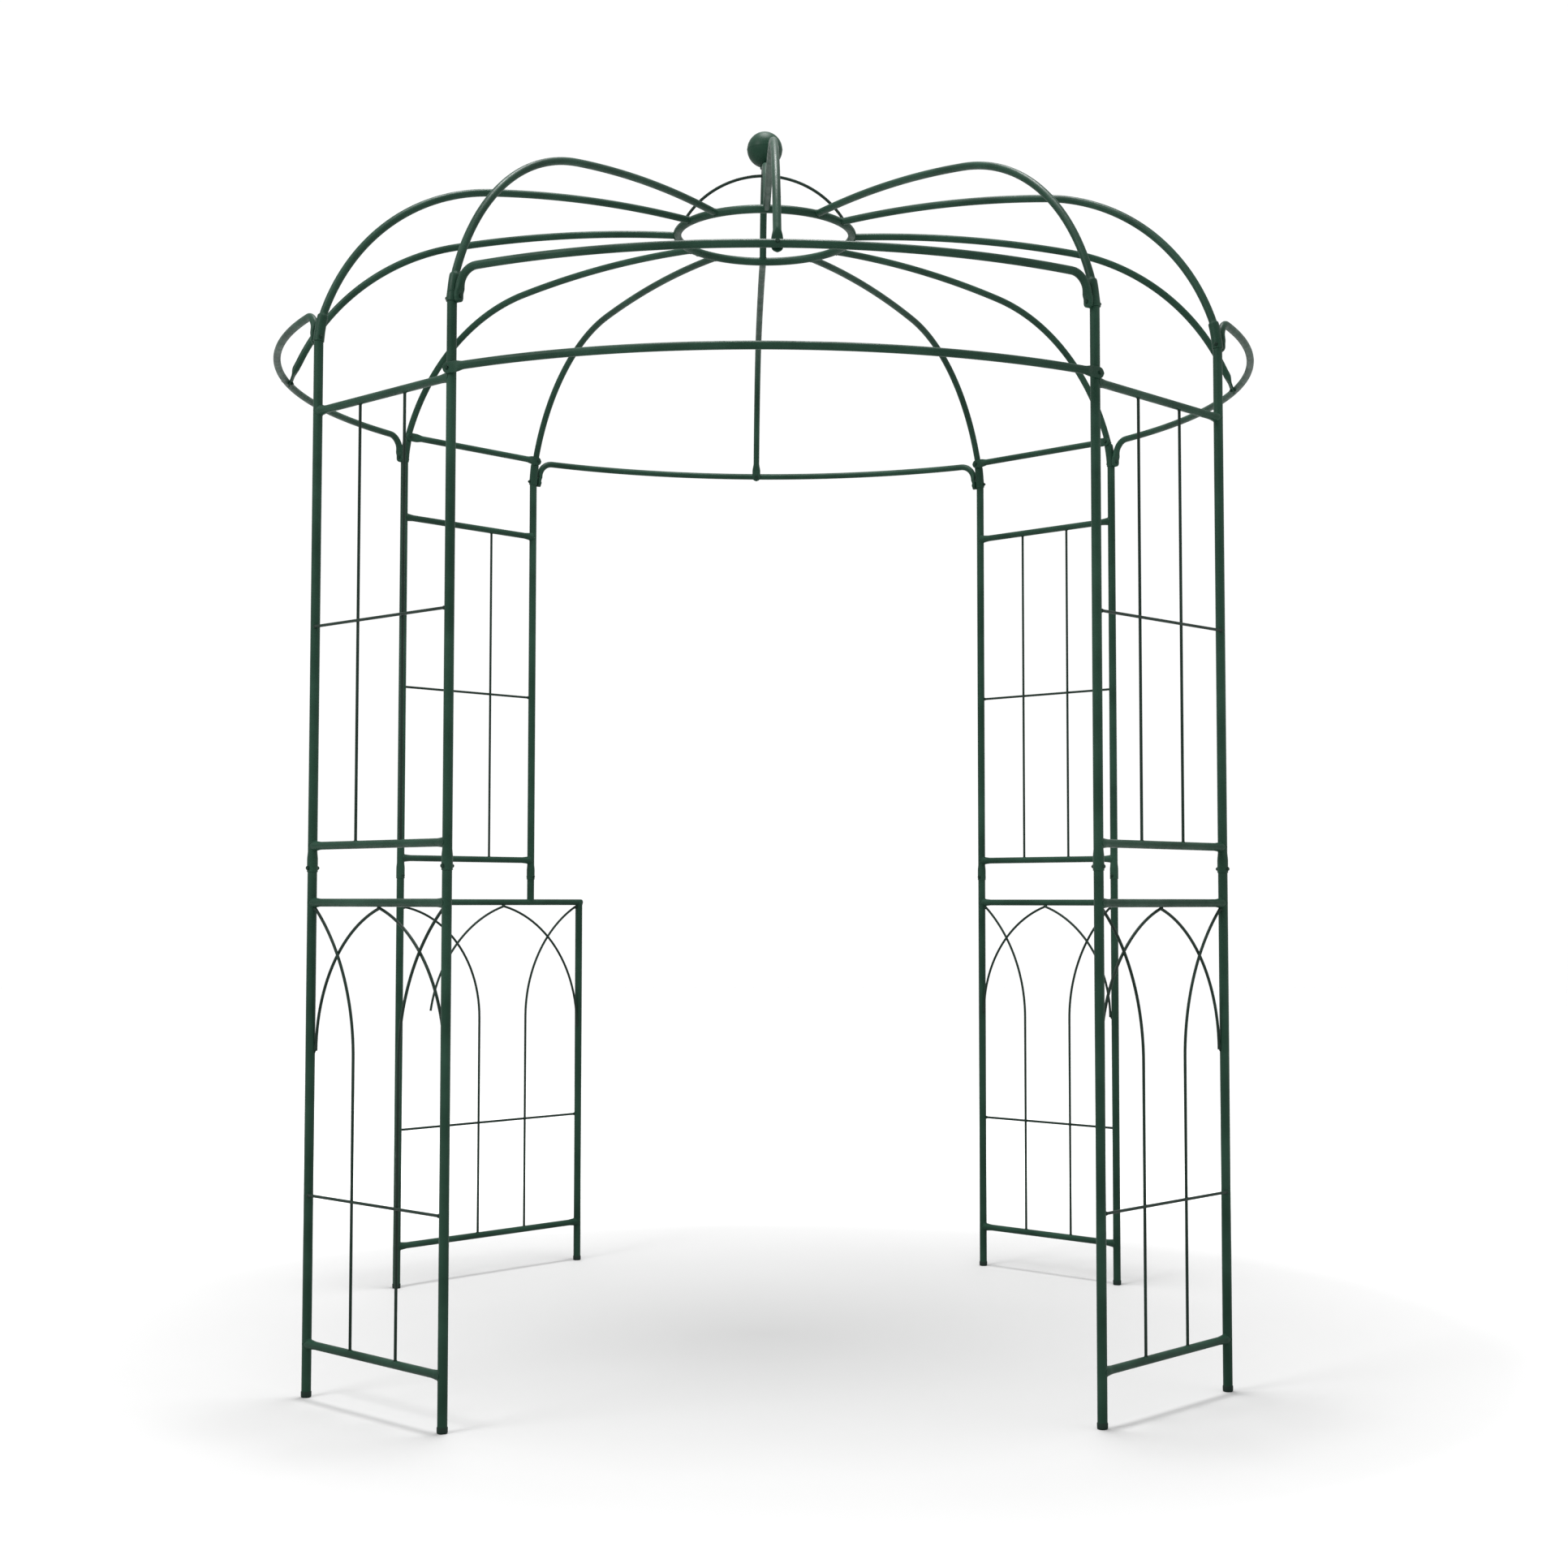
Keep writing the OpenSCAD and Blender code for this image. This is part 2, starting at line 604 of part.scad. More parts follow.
lower_legs(FL);  // front_left_lower_legs
lower_rails(FL);  // front_left_lower_rails
lower_lattice(FL);  // front_left_lower_lattice
upper_legs(FL);  // front_left_upper_legs
upper_rails(FL);  // front_left_upper_rails
upper_lattice(FL);  // front_left_upper_lattice
lower_legs(FR);  // front_right_lower_legs
lower_rails(FR);  // front_right_lower_rails
lower_lattice(FR);  // front_right_lower_lattice
upper_legs(FR);  // front_right_upper_legs
upper_rails(FR);  // front_right_upper_rails
upper_lattice(FR);  // front_right_upper_lattice
lower_legs(BR);  // back_right_lower_legs
lower_rails(BR);  // back_right_lower_rails
lower_lattice(BR);  // back_right_lower_lattice
upper_legs(BR);  // back_right_upper_legs
upper_rails(BR);  // back_right_upper_rails
upper_lattice(BR);  // back_right_upper_lattice
lower_legs(BL);  // back_left_lower_legs
lower_rails(BL);  // back_left_lower_rails
lower_lattice(BL);  // back_left_lower_lattice
upper_legs(BL);  // back_left_upper_legs
upper_rails(BL);  // back_left_upper_rails
upper_lattice(BL);  // back_left_upper_lattice
leg_rib(FL - half_angle);  // front_left_rib_a
leg_rib(FL + half_angle);  // front_left_rib_b
leg_rib(FR - half_angle);  // front_right_rib_a
leg_rib(FR + half_angle);  // front_right_rib_b
leg_rib(BR - half_angle);  // back_right_rib_a
leg_rib(BR + half_angle);  // back_right_rib_b
leg_rib(BL - half_angle);  // back_left_rib_a
leg_rib(BL + half_angle);  // back_left_rib_b
middle_rib(270);  // front_middle_rib
middle_rib(0);  // right_middle_rib
middle_rib(90);  // back_middle_rib
middle_rib(180);  // left_middle_rib
doorway_arch(270);  // front_arch
doorway_arch(0);  // right_arch
doorway_arch(90);  // back_arch
doorway_arch(180);  // left_arch
front_low_arch();
tie(BL);  // back_left_tie
tie(BR);  // back_right_tie
crown_ring();
crown_hoop();
crown_rod();
finial_ball();
finial_stud();
finial_collar();
foot_caps();
joint_bolts();
joint_nuts();
eave_bolts();
eave_nuts();
middle_rib_bolts();
middle_rib_nuts();
low_arch_bolts();
low_arch_nuts();
tie_bolts();
tie_nuts();
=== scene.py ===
import math

import bpy
from mathutils import Matrix, Vector


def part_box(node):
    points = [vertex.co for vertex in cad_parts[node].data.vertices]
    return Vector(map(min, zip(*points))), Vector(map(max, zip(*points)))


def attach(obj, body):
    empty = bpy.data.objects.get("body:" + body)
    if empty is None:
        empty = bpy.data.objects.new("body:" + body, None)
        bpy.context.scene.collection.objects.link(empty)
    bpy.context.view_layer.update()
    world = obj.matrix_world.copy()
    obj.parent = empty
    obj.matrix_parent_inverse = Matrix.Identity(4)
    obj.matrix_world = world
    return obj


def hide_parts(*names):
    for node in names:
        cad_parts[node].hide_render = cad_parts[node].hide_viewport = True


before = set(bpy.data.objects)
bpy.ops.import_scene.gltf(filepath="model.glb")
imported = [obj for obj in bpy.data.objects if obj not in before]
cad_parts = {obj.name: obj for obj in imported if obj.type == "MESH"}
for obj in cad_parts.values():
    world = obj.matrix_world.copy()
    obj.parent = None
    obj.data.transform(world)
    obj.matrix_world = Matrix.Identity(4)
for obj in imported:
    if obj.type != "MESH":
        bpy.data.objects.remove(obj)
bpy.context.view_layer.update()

# The looks of the garden pavilion: bent tubes with coped, belled and pressed ends, weld beads,
# hexagon bolts, and a satin powder coat. Everything is in metres, in the frame of the CAD model.

# ---- driving sizes ----

LEG_R = 0.0095
TUBE_R = 0.008
ROD_R = 0.003
BELL_R = 0.0108
TAB_T = 0.004            # thickness and width of a flattened tube end
TAB_W = 0.022
SINK = 0.0004            # how far a fastener or an end sinks into the surface it meets
LEG_LAP = 0.019          # how far a lower leg runs up past its joint bolt
BOLT_R = 0.002
HEX_R = 0.004
LAYER = 0.00605          # between the axes of crossing rods, which lie side by side
CREST_R = 0.300          # plan radius of a rib's highest point
SHOULDER_R = 0.715       # plan radius where the shoulder bend starts
CROWN_ARC_R = 2.500
SHOULDER_ARC_R = 0.480
RING_R = 0.203           # the crown ring's centre line
BALL_R = 0.041
CAP_H = 0.012            # height of a foot cap
LOWER_CROSS_Z = 0.396    # level rods of the lower and the upper lattice
UPPER_CROSS_Z = 1.527
ROD_BEND_Z = 0.670       # where the lattice rods begin to bend
TANGENT_Z = 0.680        # where the pointed arch runs out along a leg
WIDE_TANGENT_Z = 0.637
WIDE_END_Z = 0.695       # where the wide frame's outer branch stops
WIDE_BEND_R = 0.340      # bend of that branch
WIDE_RODS = (-0.201, -0.044)
WIDE_TIP_Y = -0.119
SIDES = 24               # corners round a tube
ROD_SIDES = 16           # corners round a thin rod

Z = Vector((0, 0, 1))


def middle(node):
    lo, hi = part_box(node)
    return (lo + hi) / 2


# ---- places, from the frame ----

leg_lo, leg_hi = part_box("front_left_upper_legs")
door_leg = Vector((leg_hi.x - BELL_R, leg_lo.y + BELL_R, 0))
PLAN_R = door_leg.length
HALF_ANGLE = math.atan2(door_leg.y, door_leg.x) % math.tau - math.radians(225)
DOOR_ANGLE = math.radians(45) - HALF_ANGLE
CHORD_R = PLAN_R * math.cos(HALF_ANGLE)
HALF_W = PLAN_R * math.sin(HALF_ANGLE)
BOTTOM_RAIL_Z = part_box("front_left_lower_rails")[0].z + TUBE_R
MID_RAIL_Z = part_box("front_left_lower_rails")[1].z - TUBE_R
UPPER_RAIL_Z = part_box("front_left_upper_rails")[0].z + TUBE_R
TOP_RAIL_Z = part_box("front_left_upper_rails")[1].z - TUBE_R
JOINT_Z = middle("joint_bolts").z
EAVE_Z = middle("eave_bolts").z
LOW_ARCH_Z = middle("low_arch_bolts").z
ARCH_Z = middle("back_left_tie").z
RING_Z = middle("crown_ring").z
HOOP_TOP_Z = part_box("crown_hoop")[1].z
BELL_END_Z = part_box("front_left_upper_legs")[0].z
LEG_TOP_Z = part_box("front_left_upper_legs")[1].z
BALL_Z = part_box("finial_ball")[1].z - BALL_R

PANELS = {"front_left": 225, "front_right": 315, "back_right": 45, "back_left": 135}
wide_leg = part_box("back_left_lower_legs")[1] - Vector((LEG_R, LEG_R, 0))
WIDE_Y = -math.hypot(wide_leg.x + CHORD_R * math.sin(math.radians(45)),
                     wide_leg.y - CHORD_R * math.sin(math.radians(45)))
STANDARD_RODS = (-HALF_W / 3, HALF_W / 3)
TIP_Z = MID_RAIL_Z - TUBE_R - ROD_R

# Rib outline in its own upright plane, as plan radius and height
crown_phi = math.asin((RING_R + LEG_R - CREST_R) / CROWN_ARC_R)
shoulder_phi = math.asin((SHOULDER_R - CREST_R) / CROWN_ARC_R)
crown_centre = (CREST_R, RING_Z - CROWN_ARC_R * math.cos(crown_phi))
shoulder_centre = (
    crown_centre[0] + (CROWN_ARC_R - SHOULDER_ARC_R) * math.sin(shoulder_phi),
    crown_centre[1] + (CROWN_ARC_R - SHOULDER_ARC_R) * math.cos(shoulder_phi),
)
tab_phi = math.atan2(PLAN_R - shoulder_centre[0], ARCH_Z - shoulder_centre[1])
arch_gap = math.hypot(PLAN_R - shoulder_centre[0], ARCH_Z - shoulder_centre[1])

# Where a tie meets the two ribs of its panel
tie_rib_r = shoulder_centre[0] + math.sqrt(SHOULDER_ARC_R ** 2 - (ARCH_Z - shoulder_centre[1]) ** 2)
tie_x = tie_rib_r * math.cos(HALF_ANGLE) - TUBE_R - TAB_T / 2
tie_y = tie_rib_r * math.sin(HALF_ANGLE)


def turned(angle):
    """Rotation about Z by an angle in radians."""
    return Matrix.Rotation(angle, 4, "Z")


def on_panel(name):
    """Matrix of a panel: X outward, Y along the panel, Z up."""
    return turned(math.radians(PANELS[name])) @ Matrix.Translation((CHORD_R, 0, 0))


def polar(radius, angle, z):
    return Vector((radius * math.cos(angle), radius * math.sin(angle), z))


def spread(start, end, count):
    """Evenly spaced numbers, both ends included."""
    return [start + (end - start) * i / (count - 1) for i in range(count)]


def mix(a, b, t):
    return a + (b - a) * t


def ease(t):
    t = min(max(t, 0), 1)
    return t * t * (3 - 2 * t)


# ---- surfaces ----

def bent(value, power):
    """One coordinate of a superellipse: power 2 is an ellipse, more is squarer."""
    return math.copysign(abs(value) ** (2 / power), value)


class Surface:
    """Gathers swept and turned shapes, and becomes one object."""

    def __init__(self, matrix=None):
        self.matrix = matrix or Matrix.Identity(4)
        self.points = []
        self.faces = []

    def rings(self, rings, closed=False, caps=True):
        """Skins a list of rings, each a list of the same number of points."""
        first = len(self.points)
        n = len(rings[0])
        for ring in rings:
            self.points += [self.matrix @ p for p in ring]
        for i in range(len(rings) if closed else len(rings) - 1):
            a = first + i * n
            b = first + (i + 1) % len(rings) * n
            for k in range(n):
                j = (k + 1) % n
                self.faces.append((a + k, a + j, b + j, b + k))
        if caps and not closed:
            self.faces.append(tuple(first + k for k in reversed(range(n))))
            last = first + (len(rings) - 1) * n
            self.faces.append(tuple(last + k for k in range(n)))

    def sweep(self, path, sizes, normals, tangent=None, closed=False, sides=SIDES):
        """Sweeps a superellipse. Each size is (half size across, half size along the normal, power)."""
        rings = []
        count = len(path)
        for i, p in enumerate(path):
            if tangent is None:
                before = path[i - 1] if i or closed else p
                after = path[(i + 1) % count] if i + 1 < count or closed else p
                t = (after - before).normalized()
            else:
                t = tangent
            up = normals if isinstance(normals, Vector) else normals[i]
            up = (up - t * up.dot(t)).normalized()
            side = t.cross(up)
            a, b, power = sizes if isinstance(sizes, tuple) else sizes[i]
            rings.append([
                p + side * (a * bent(math.cos(w), power)) + up * (b * bent(math.sin(w), power))
                for w in (math.tau * k / sides for k in range(sides))
            ])
        self.rings(rings, closed)

    def turn(self, base, axis, profile, sides=SIDES, shape=None):
        """Turns a profile of (radius, height) about an axis; shape(radius, angle) can change the radius."""
        up = Z if abs(axis.z) < 0.9 else Vector((1, 0, 0))
        across = axis.cross(up).normalized()
        up = across.cross(axis)
        rings = []
        for radius, height in profile:
            ring = []
            for k in range(sides):
                w = math.tau * k / sides
                r = shape(radius, w) if shape else radius
                ring.append(base + axis * height + across * (r * math.cos(w)) + up * (r * math.sin(w)))
            rings.append(ring)
        self.rings(rings)

    def finish(self, name, material, slot, *nodes):
        mesh = bpy.data.meshes.new(name)
        mesh.from_pydata([tuple(p) for p in self.points], [], self.faces)
        mesh.validate()
        mesh.shade_smooth()
        mesh.set_sharp_from_angle(angle=math.radians(38))
        mesh.materials.append(material)
        piece = bpy.data.objects.new(name, mesh)
        bpy.context.scene.collection.objects.link(piece)
        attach(piece, "root")
        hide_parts(*nodes)
        return piece


def tube(surface, start, end, radius, sides=SIDES):
    """A straight round tube or rod with softened ends."""
    along = (end - start).normalized()
    length = (end - start).length
    soft = radius * 0.12
    profile = [(radius - soft, 0), (radius, soft), (radius, length - soft), (radius - soft, length)]
    surface.turn(start, along, profile, sides)


RIPPLES = 11             # scales in a weld bead
BEAD_STEPS = 44


def bead(surface, centre, along, up, half_w, half_h, leg_r, size=0.0012):
    """Weld bead where a tube that runs along meets a round leg; up is the leg's axis."""
    across = along.cross(up).normalized()
    path, normals, sizes = [], [], []
    for k in range(BEAD_STEPS):
        w = math.tau * k / BEAD_STEPS
        x = half_w * math.cos(w)
        reach = math.sqrt(max(leg_r * leg_r - x * x, 0))
        path.append(centre + along * reach + across * x + up * (half_h * math.sin(w)))
        normals.append(across * math.cos(w) + up * math.sin(w))
        r = size * (1 + 0.16 * math.sin(RIPPLES * w))
        sizes.append((r, r, 2))
    surface.sweep(path, sizes, normals, closed=True, sides=8)


def blob(surface, centre, along, length, radius):
    """A small elongated weld."""
    profile = [
        (max(radius * math.sin(math.pi * t), radius * 0.05), (t - 0.5) * length)
        for t in spread(0, 1, 7)
    ]
    surface.turn(centre, along, profile, 12)


COPE_REACH = 0.030       # where a rail's end begins to flare towards its leg


def coped_rail(surface, start, end, up):
    """A rail whose flared ends are coped round two round legs, with a weld bead at each end."""
    along = (end - start).normalized()
    across = along.cross(up).normalized()
    saddle_w, saddle_h = LEG_R + 0.0006, TUBE_R + 0.0019

    def ring(origin, direction, reach, half_w, half_h, cope):
        points = []
        for k in range(SIDES):
            w = math.tau * k / SIDES
            x = half_w * math.cos(w)
            y = half_h * math.sin(w)
            d = math.sqrt(max(LEG_R * LEG_R - x * x, 0)) if cope else reach
            points.append(origin + direction * d + across * x + up * y)
        return points

    def end_rings(origin, direction):
        out = [ring(origin, direction, 0, saddle_w, saddle_h, True)]
        for reach in (0.0105, 0.0125, 0.0155, 0.020, COPE_REACH):
            t = ease((COPE_REACH - reach) / (COPE_REACH - 0.0095))
            out.append(ring(origin, direction, reach, mix(TUBE_R, saddle_w, t),
                            mix(TUBE_R, saddle_h, t), False))
        return out

    surface.rings(end_rings(start, along) + list(reversed(end_rings(end, -along))))
    for origin, direction in ((start, along), (end, -along)):
        bead(surface, origin, direction, up, saddle_w * 0.97, saddle_h + 0.0002, LEG_R)


# ---- materials ----

def coating(name, dark, mid, light, rough, peel=0.00009, wear=0.25):
    """Satin powder coat: cloudy colour, thin specks, orange peel, and lighter paint on edges."""
    material = bpy.data.materials.new(name)
    material.use_nodes = True
    nodes, links = material.node_tree.nodes, material.node_tree.links
    shader = nodes["Principled BSDF"]
    shader.inputs["Specular IOR Level"].default_value = 0.10
    place = nodes.new("ShaderNodeTexCoord")

    def noise(scale, detail, roughness=0.5):
        node = nodes.new("ShaderNodeTexNoise")
        node.inputs["Scale"].default_value = scale
        node.inputs["Detail"].default_value = detail
        node.inputs["Roughness"].default_value = roughness
        links.new(place.outputs["Object"], node.inputs["Vector"])
        return node

    cloud = noise(9, 5)
    ramp = nodes.new("ShaderNodeValToRGB")
    ramp.color_ramp.elements[0].position = 0.34
    ramp.color_ramp.elements[0].color = (*dark, 1)
    ramp.color_ramp.elements[1].position = 0.70
    ramp.color_ramp.elements[1].color = (*mid, 1)
    links.new(cloud.outputs["Fac"], ramp.inputs["Fac"])

    # Specks where the coat is thin
    speck = noise(420, 3, 0.7)
    speck_ramp = nodes.new("ShaderNodeMapRange")
    speck_ramp.inputs["From Min"].default_value = 0.66
    speck_ramp.inputs["From Max"].default_value = 0.80
    speck_ramp.inputs["To Max"].default_value = 0.45
    links.new(speck.outputs["Fac"], speck_ramp.inputs["Value"])
    specks = nodes.new("ShaderNodeMix")
    specks.data_type = "RGBA"
    specks.inputs["B"].default_value = (*light, 1)
    links.new(speck_ramp.outputs["Result"], specks.inputs["Factor"])
    links.new(ramp.outputs["Color"], specks.inputs["A"])

    # Edges rub lighter
    shape = nodes.new("ShaderNodeNewGeometry")
    edge = nodes.new("ShaderNodeMapRange")
    edge.inputs["From Min"].default_value = 0.515
    edge.inputs["From Max"].default_value = 0.60
    edge.inputs["To Max"].default_value = wear
    links.new(shape.outputs["Pointiness"], edge.inputs["Value"])
    worn = nodes.new("ShaderNodeMix")
    worn.data_type = "RGBA"
    worn.inputs["B"].default_value = (*light, 1)
    links.new(edge.outputs["Result"], worn.inputs["Factor"])
    links.new(specks.outputs["Result"], worn.inputs["A"])
    links.new(worn.outputs["Result"], shader.inputs["Base Color"])

    # Roughness wanders with handling marks
    handling = noise(38, 4)
    rough_range = nodes.new("ShaderNodeMapRange")
    rough_range.inputs["From Min"].default_value = 0.3
    rough_range.inputs["From Max"].default_value = 0.7
    rough_range.inputs["To Min"].default_value = rough - 0.07
    rough_range.inputs["To Max"].default_value = rough + 0.09
    links.new(handling.outputs["Fac"], rough_range.inputs["Value"])
    links.new(rough_range.outputs["Result"], shader.inputs["Roughness"])

    # Orange peel over slow waves in the tube
    fine = noise(760, 2)
    peel_bump = nodes.new("ShaderNodeBump")
    peel_bump.inputs["Strength"].default_value = 0.35
    peel_bump.inputs["Distance"].default_value = peel
    links.new(fine.outputs["Fac"], peel_bump.inputs["Height"])
    slow = noise(70, 2)
    wave_bump = nodes.new("ShaderNodeBump")
    wave_bump.inputs["Strength"].default_value = 0.35
    wave_bump.inputs["Distance"].default_value = peel * 3
    links.new(slow.outputs["Fac"], wave_bump.inputs["Height"])
    links.new(peel_bump.outputs["Normal"], wave_bump.inputs["Normal"])
    links.new(wave_bump.outputs["Normal"], shader.inputs["Normal"])
    return material


frame_green = coating(
    "frame_green", dark=(0.0055, 0.0235, 0.0135), mid=(0.0125, 0.040, 0.025), light=(0.042, 0.10, 0.068),
    rough=0.44)
rod_green = coating(
    "rod_green", dark=(0.006, 0.015, 0.010), mid=(0.010, 0.022, 0.016), light=(0.03, 0.06, 0.045),
    rough=0.45)
hardware = coating(
    "hardware", dark=(0.0045, 0.0165, 0.0100), mid=(0.0090, 0.0270, 0.0175), light=(0.05, 0.09, 0.07),
    rough=0.38, peel=0.00004, wear=0.5)
hardware.node_tree.nodes["Principled BSDF"].inputs["Metallic"].default_value = 0.1
foot_plastic = coating(
    "foot_plastic", dark=(0.007, 0.016, 0.012), mid=(0.012, 0.024, 0.018), light=(0.03, 0.05, 0.04),
    rough=0.58, peel=0.00005, wear=0.1)


# ---- panels ----

def lower_span(panel):
    return (WIDE_Y, HALF_W) if panel == "back_left" else (-HALF_W, HALF_W)


def lower_legs(panel):
    legs = Surface(on_panel(panel))
    wide = panel == "back_left"
    for y in (-HALF_W, HALF_W):
        stub = wide and y < 0
        low = MID_RAIL_Z if stub else CAP_H * 0.3
        tube(legs, Vector((0, y, low)), Vector((0, y, JOINT_Z + LEG_LAP)), LEG_R)
        if stub:
            on_rail = Vector((0, y, MID_RAIL_Z))
            bead(legs, on_rail, Z, Vector((0, 1, 0)), TUBE_R * 0.98, LEG_R + 0.0002, TUBE_R)
    if wide:
        tube(legs, Vector((0, WIDE_Y, CAP_H * 0.3)), Vector((0, WIDE_Y, MID_RAIL_Z)), LEG_R)
    legs.finish(f"{panel}_lower_legs_look", frame_green, "frame_green", f"{panel}_lower_legs")


def lower_rails(panel):
    rails = Surface(on_panel(panel))
    low, high = lower_span(panel)
    coped_rail(rails, Vector((0, low, BOTTOM_RAIL_Z)), Vector((0, high, BOTTOM_RAIL_Z)), Z)
    if panel == "back_left":
        square_corner_rail(rails, low, high)
    else:
        coped_rail(rails, Vector((0, low, MID_RAIL_Z)), Vector((0, high, MID_RAIL_Z)), Z)
    rails.finish(f"{panel}_lower_rails_look", frame_green, "frame_green", f"{panel}_lower_rails")


def square_corner_rail(surface, low, high):
    """The wide frame's top rail: it runs over the inner leg's top and ends in a plug there."""
    over = low - LEG_R + SINK
    flared = TUBE_R + 0.0016
    stations = [
        (over, 0.0068), (over + 0.0008, 0.0078), (over + 0.004, TUBE_R), (over + 0.03, TUBE_R),
        (high - COPE_REACH, TUBE_R), (high - 0.016, TUBE_R + 0.0006), (high - 0.011, TUBE_R + 0.0015),
        (high - LEG_R * 0.4, flared),
    ]
    path = [Vector((0, y, MID_RAIL_Z)) for y, _ in stations]
    sizes = [(r, r, 2) for _, r in stations]
    along = Vector((0, 1, 0))
    surface.sweep(path, sizes, Z, tangent=along)
    bead(surface, Vector((0, low, MID_RAIL_Z)), -Z, along, TUBE_R * 0.98, LEG_R + 0.0003, TUBE_R)
    bead(surface, Vector((0, high, MID_RAIL_Z)), -along, Z, LEG_R * 0.97, flared, LEG_R)


def upper_legs(panel):
    legs = Surface(on_panel(panel))
    profile = [
        (LEG_R + 0.0001, 0.010), (LEG_R + 0.0001, 0.0005), (BELL_R - 0.0004, 0), (BELL_R + 0.0001, 0.0006),
        (BELL_R, 0.0025), (BELL_R, 0.026), (BELL_R - 0.0003, 0.030), (LEG_R + 0.0004, 0.036), (LEG_R, 0.040),
        (LEG_R, LEG_TOP_Z - BELL_END_Z - 0.001), (LEG_R - 0.0008, LEG_TOP_Z - BELL_END_Z),
    ]
    for y in (-HALF_W, HALF_W):
        legs.turn(Vector((0, y, BELL_END_Z)), Z, profile)
    legs.finish(f"{panel}_upper_legs_look", frame_green, "frame_green", f"{panel}_upper_legs")


def upper_rails(panel):
    rails = Surface(on_panel(panel))
    for z in (UPPER_RAIL_Z, TOP_RAIL_Z):
        coped_rail(rails, Vector((0, -HALF_W, z)), Vector((0, HALF_W, z)), Z)
    rails.finish(f"{panel}_upper_rails_look", frame_green, "frame_green", f"{panel}_upper_rails")


def rod_on_rail(surface, y, z, up):
    """Bead where an upright rod meets a rail."""
    bead(surface, Vector((0, y, z)), up, Vector((0, 1, 0)), ROD_R, ROD_R, TUBE_R, 0.0009)


def cross_rod(surface, low, high, z, upright):
    """Level rod in front of the upright rods, welded to both legs and spotted at each crossing."""
    reach = math.sqrt(LEG_R * LEG_R - LAYER * LAYER) - SINK
    start = Vector((LAYER, low + reach, z))
    end = Vector((LAYER, high - reach, z))
    tube(surface, start, end, ROD_R, ROD_SIDES)
    blob(surface, start + Vector((0, 0.0016, 0)), Vector((0, 1, 0)), 0.010, 0.0041)
    blob(surface, end - Vector((0, 0.0016, 0)), Vector((0, 1, 0)), 0.010, 0.0041)
    for y in upright:
        blob(surface, Vector((LAYER / 2, y, z)), Vector((0, 1, 1)).normalized(), 0.008, 0.0021)


def arc_in_panel(centre_y, centre_z, radius, start, end, steps=26):
    """Points of an arc in the panel's plane; angles are from +Y towards +Z."""
    return [
        Vector((0, centre_y + radius * math.cos(a), centre_z + radius * math.sin(a)))
        for a in spread(start, end, steps)
    ]


def lattice_bend(reach, rise):
    """Radius and sweep of an arc that starts upright and leaves by reach over rise."""
    radius = (reach * reach + rise * rise) / (2 * reach)
    return radius, math.asin(rise / radius)


def corner_rod(surface, y, leg_y):
    side = 1 if leg_y > y else -1
    top = TIP_Z - 0.001
    radius, turn = lattice_bend(abs(leg_y - y) - LEG_R - ROD_R, top - ROD_BEND_Z)
    bend = arc_in_panel(y + side * radius, ROD_BEND_Z, radius,
                        math.pi if side > 0 else 0, math.pi - turn if side > 0 else turn)
    low = BOTTOM_RAIL_Z + TUBE_R * 0.9
    straight = [Vector((0, y, z)) for z in spread(low, ROD_BEND_Z, 8)[:-1]]
    surface.sweep(straight + bend, (ROD_R, ROD_R, 2), Vector((1, 0, 0)), sides=ROD_SIDES)
    along = (bend[-1] - bend[-2]).normalized()
    blob(surface, bend[-1] + Vector((0, side * 0.0014, -0.001)), along, 0.018, 0.0042)
    rod_on_rail(surface, y, BOTTOM_RAIL_Z, Z)


def pointed_arch(surface, tip_y, low, high, wide):
    """The pointed arch of two bent rods behind the upright ones."""
    beside = math.sqrt((LEG_R + ROD_R) ** 2 - LAYER * LAYER)
    gap = 0.0013
    shift = Vector((-LAYER, 0, 0))
    for leg_y, side in ((low, -1), (high, 1)):
        if wide and side > 0:
            path = wide_side(tip_y + gap)
        else:
            tangent_z = WIDE_TANGENT_Z if wide else TANGENT_Z
            radius, turn = lattice_bend(abs(leg_y - tip_y) - beside - gap, TIP_Z - tangent_z)
            centre_y = leg_y - side * (beside + radius)
            path = arc_in_panel(centre_y, tangent_z, radius,
                                0 if side > 0 else math.pi, turn if side > 0 else math.pi - turn)
        surface.sweep([p + shift for p in path], (ROD_R, ROD_R, 2), Vector((1, 0, 0)), sides=ROD_SIDES)
        if wide and side > 0:
            continue
        run = (path[1] - path[0]).normalized()
        blob(surface, path[0] + shift + run * 0.006 + Vector((0.001, side * 0.002, 0)), run, 0.022, 0.0036)
    blob(surface, Vector((-LAYER * 0.8, tip_y, TIP_Z + 0.001)), Vector((0, 1, 0)), 0.014, 0.0040)


def wide_side(tip_y):
    """The wide frame's outer branch: it stops in the open, short of the leg."""
    low = math.asin((WIDE_END_Z - WIDE_TANGENT_Z) / WIDE_BEND_R)
    high = math.asin((TIP_Z - WIDE_TANGENT_Z) / WIDE_BEND_R)
    return arc_in_panel(tip_y - WIDE_BEND_R * math.cos(high), WIDE_TANGENT_Z, WIDE_BEND_R, low, high)


def lower_lattice(panel):
    lattice = Surface(on_panel(panel))
    wide = panel == "back_left"
    low, high = lower_span(panel)
    rods = WIDE_RODS if wide else STANDARD_RODS
    corner_rod(lattice, rods[0], low)
    corner_rod(lattice, rods[1], high)
    cross_rod(lattice, low, high, LOWER_CROSS_Z, rods)
    pointed_arch(lattice, WIDE_TIP_Y if wide else 0, low, high, wide)
    lattice.finish(f"{panel}_lower_lattice_look", rod_green, "rod_green", f"{panel}_lower_lattice")


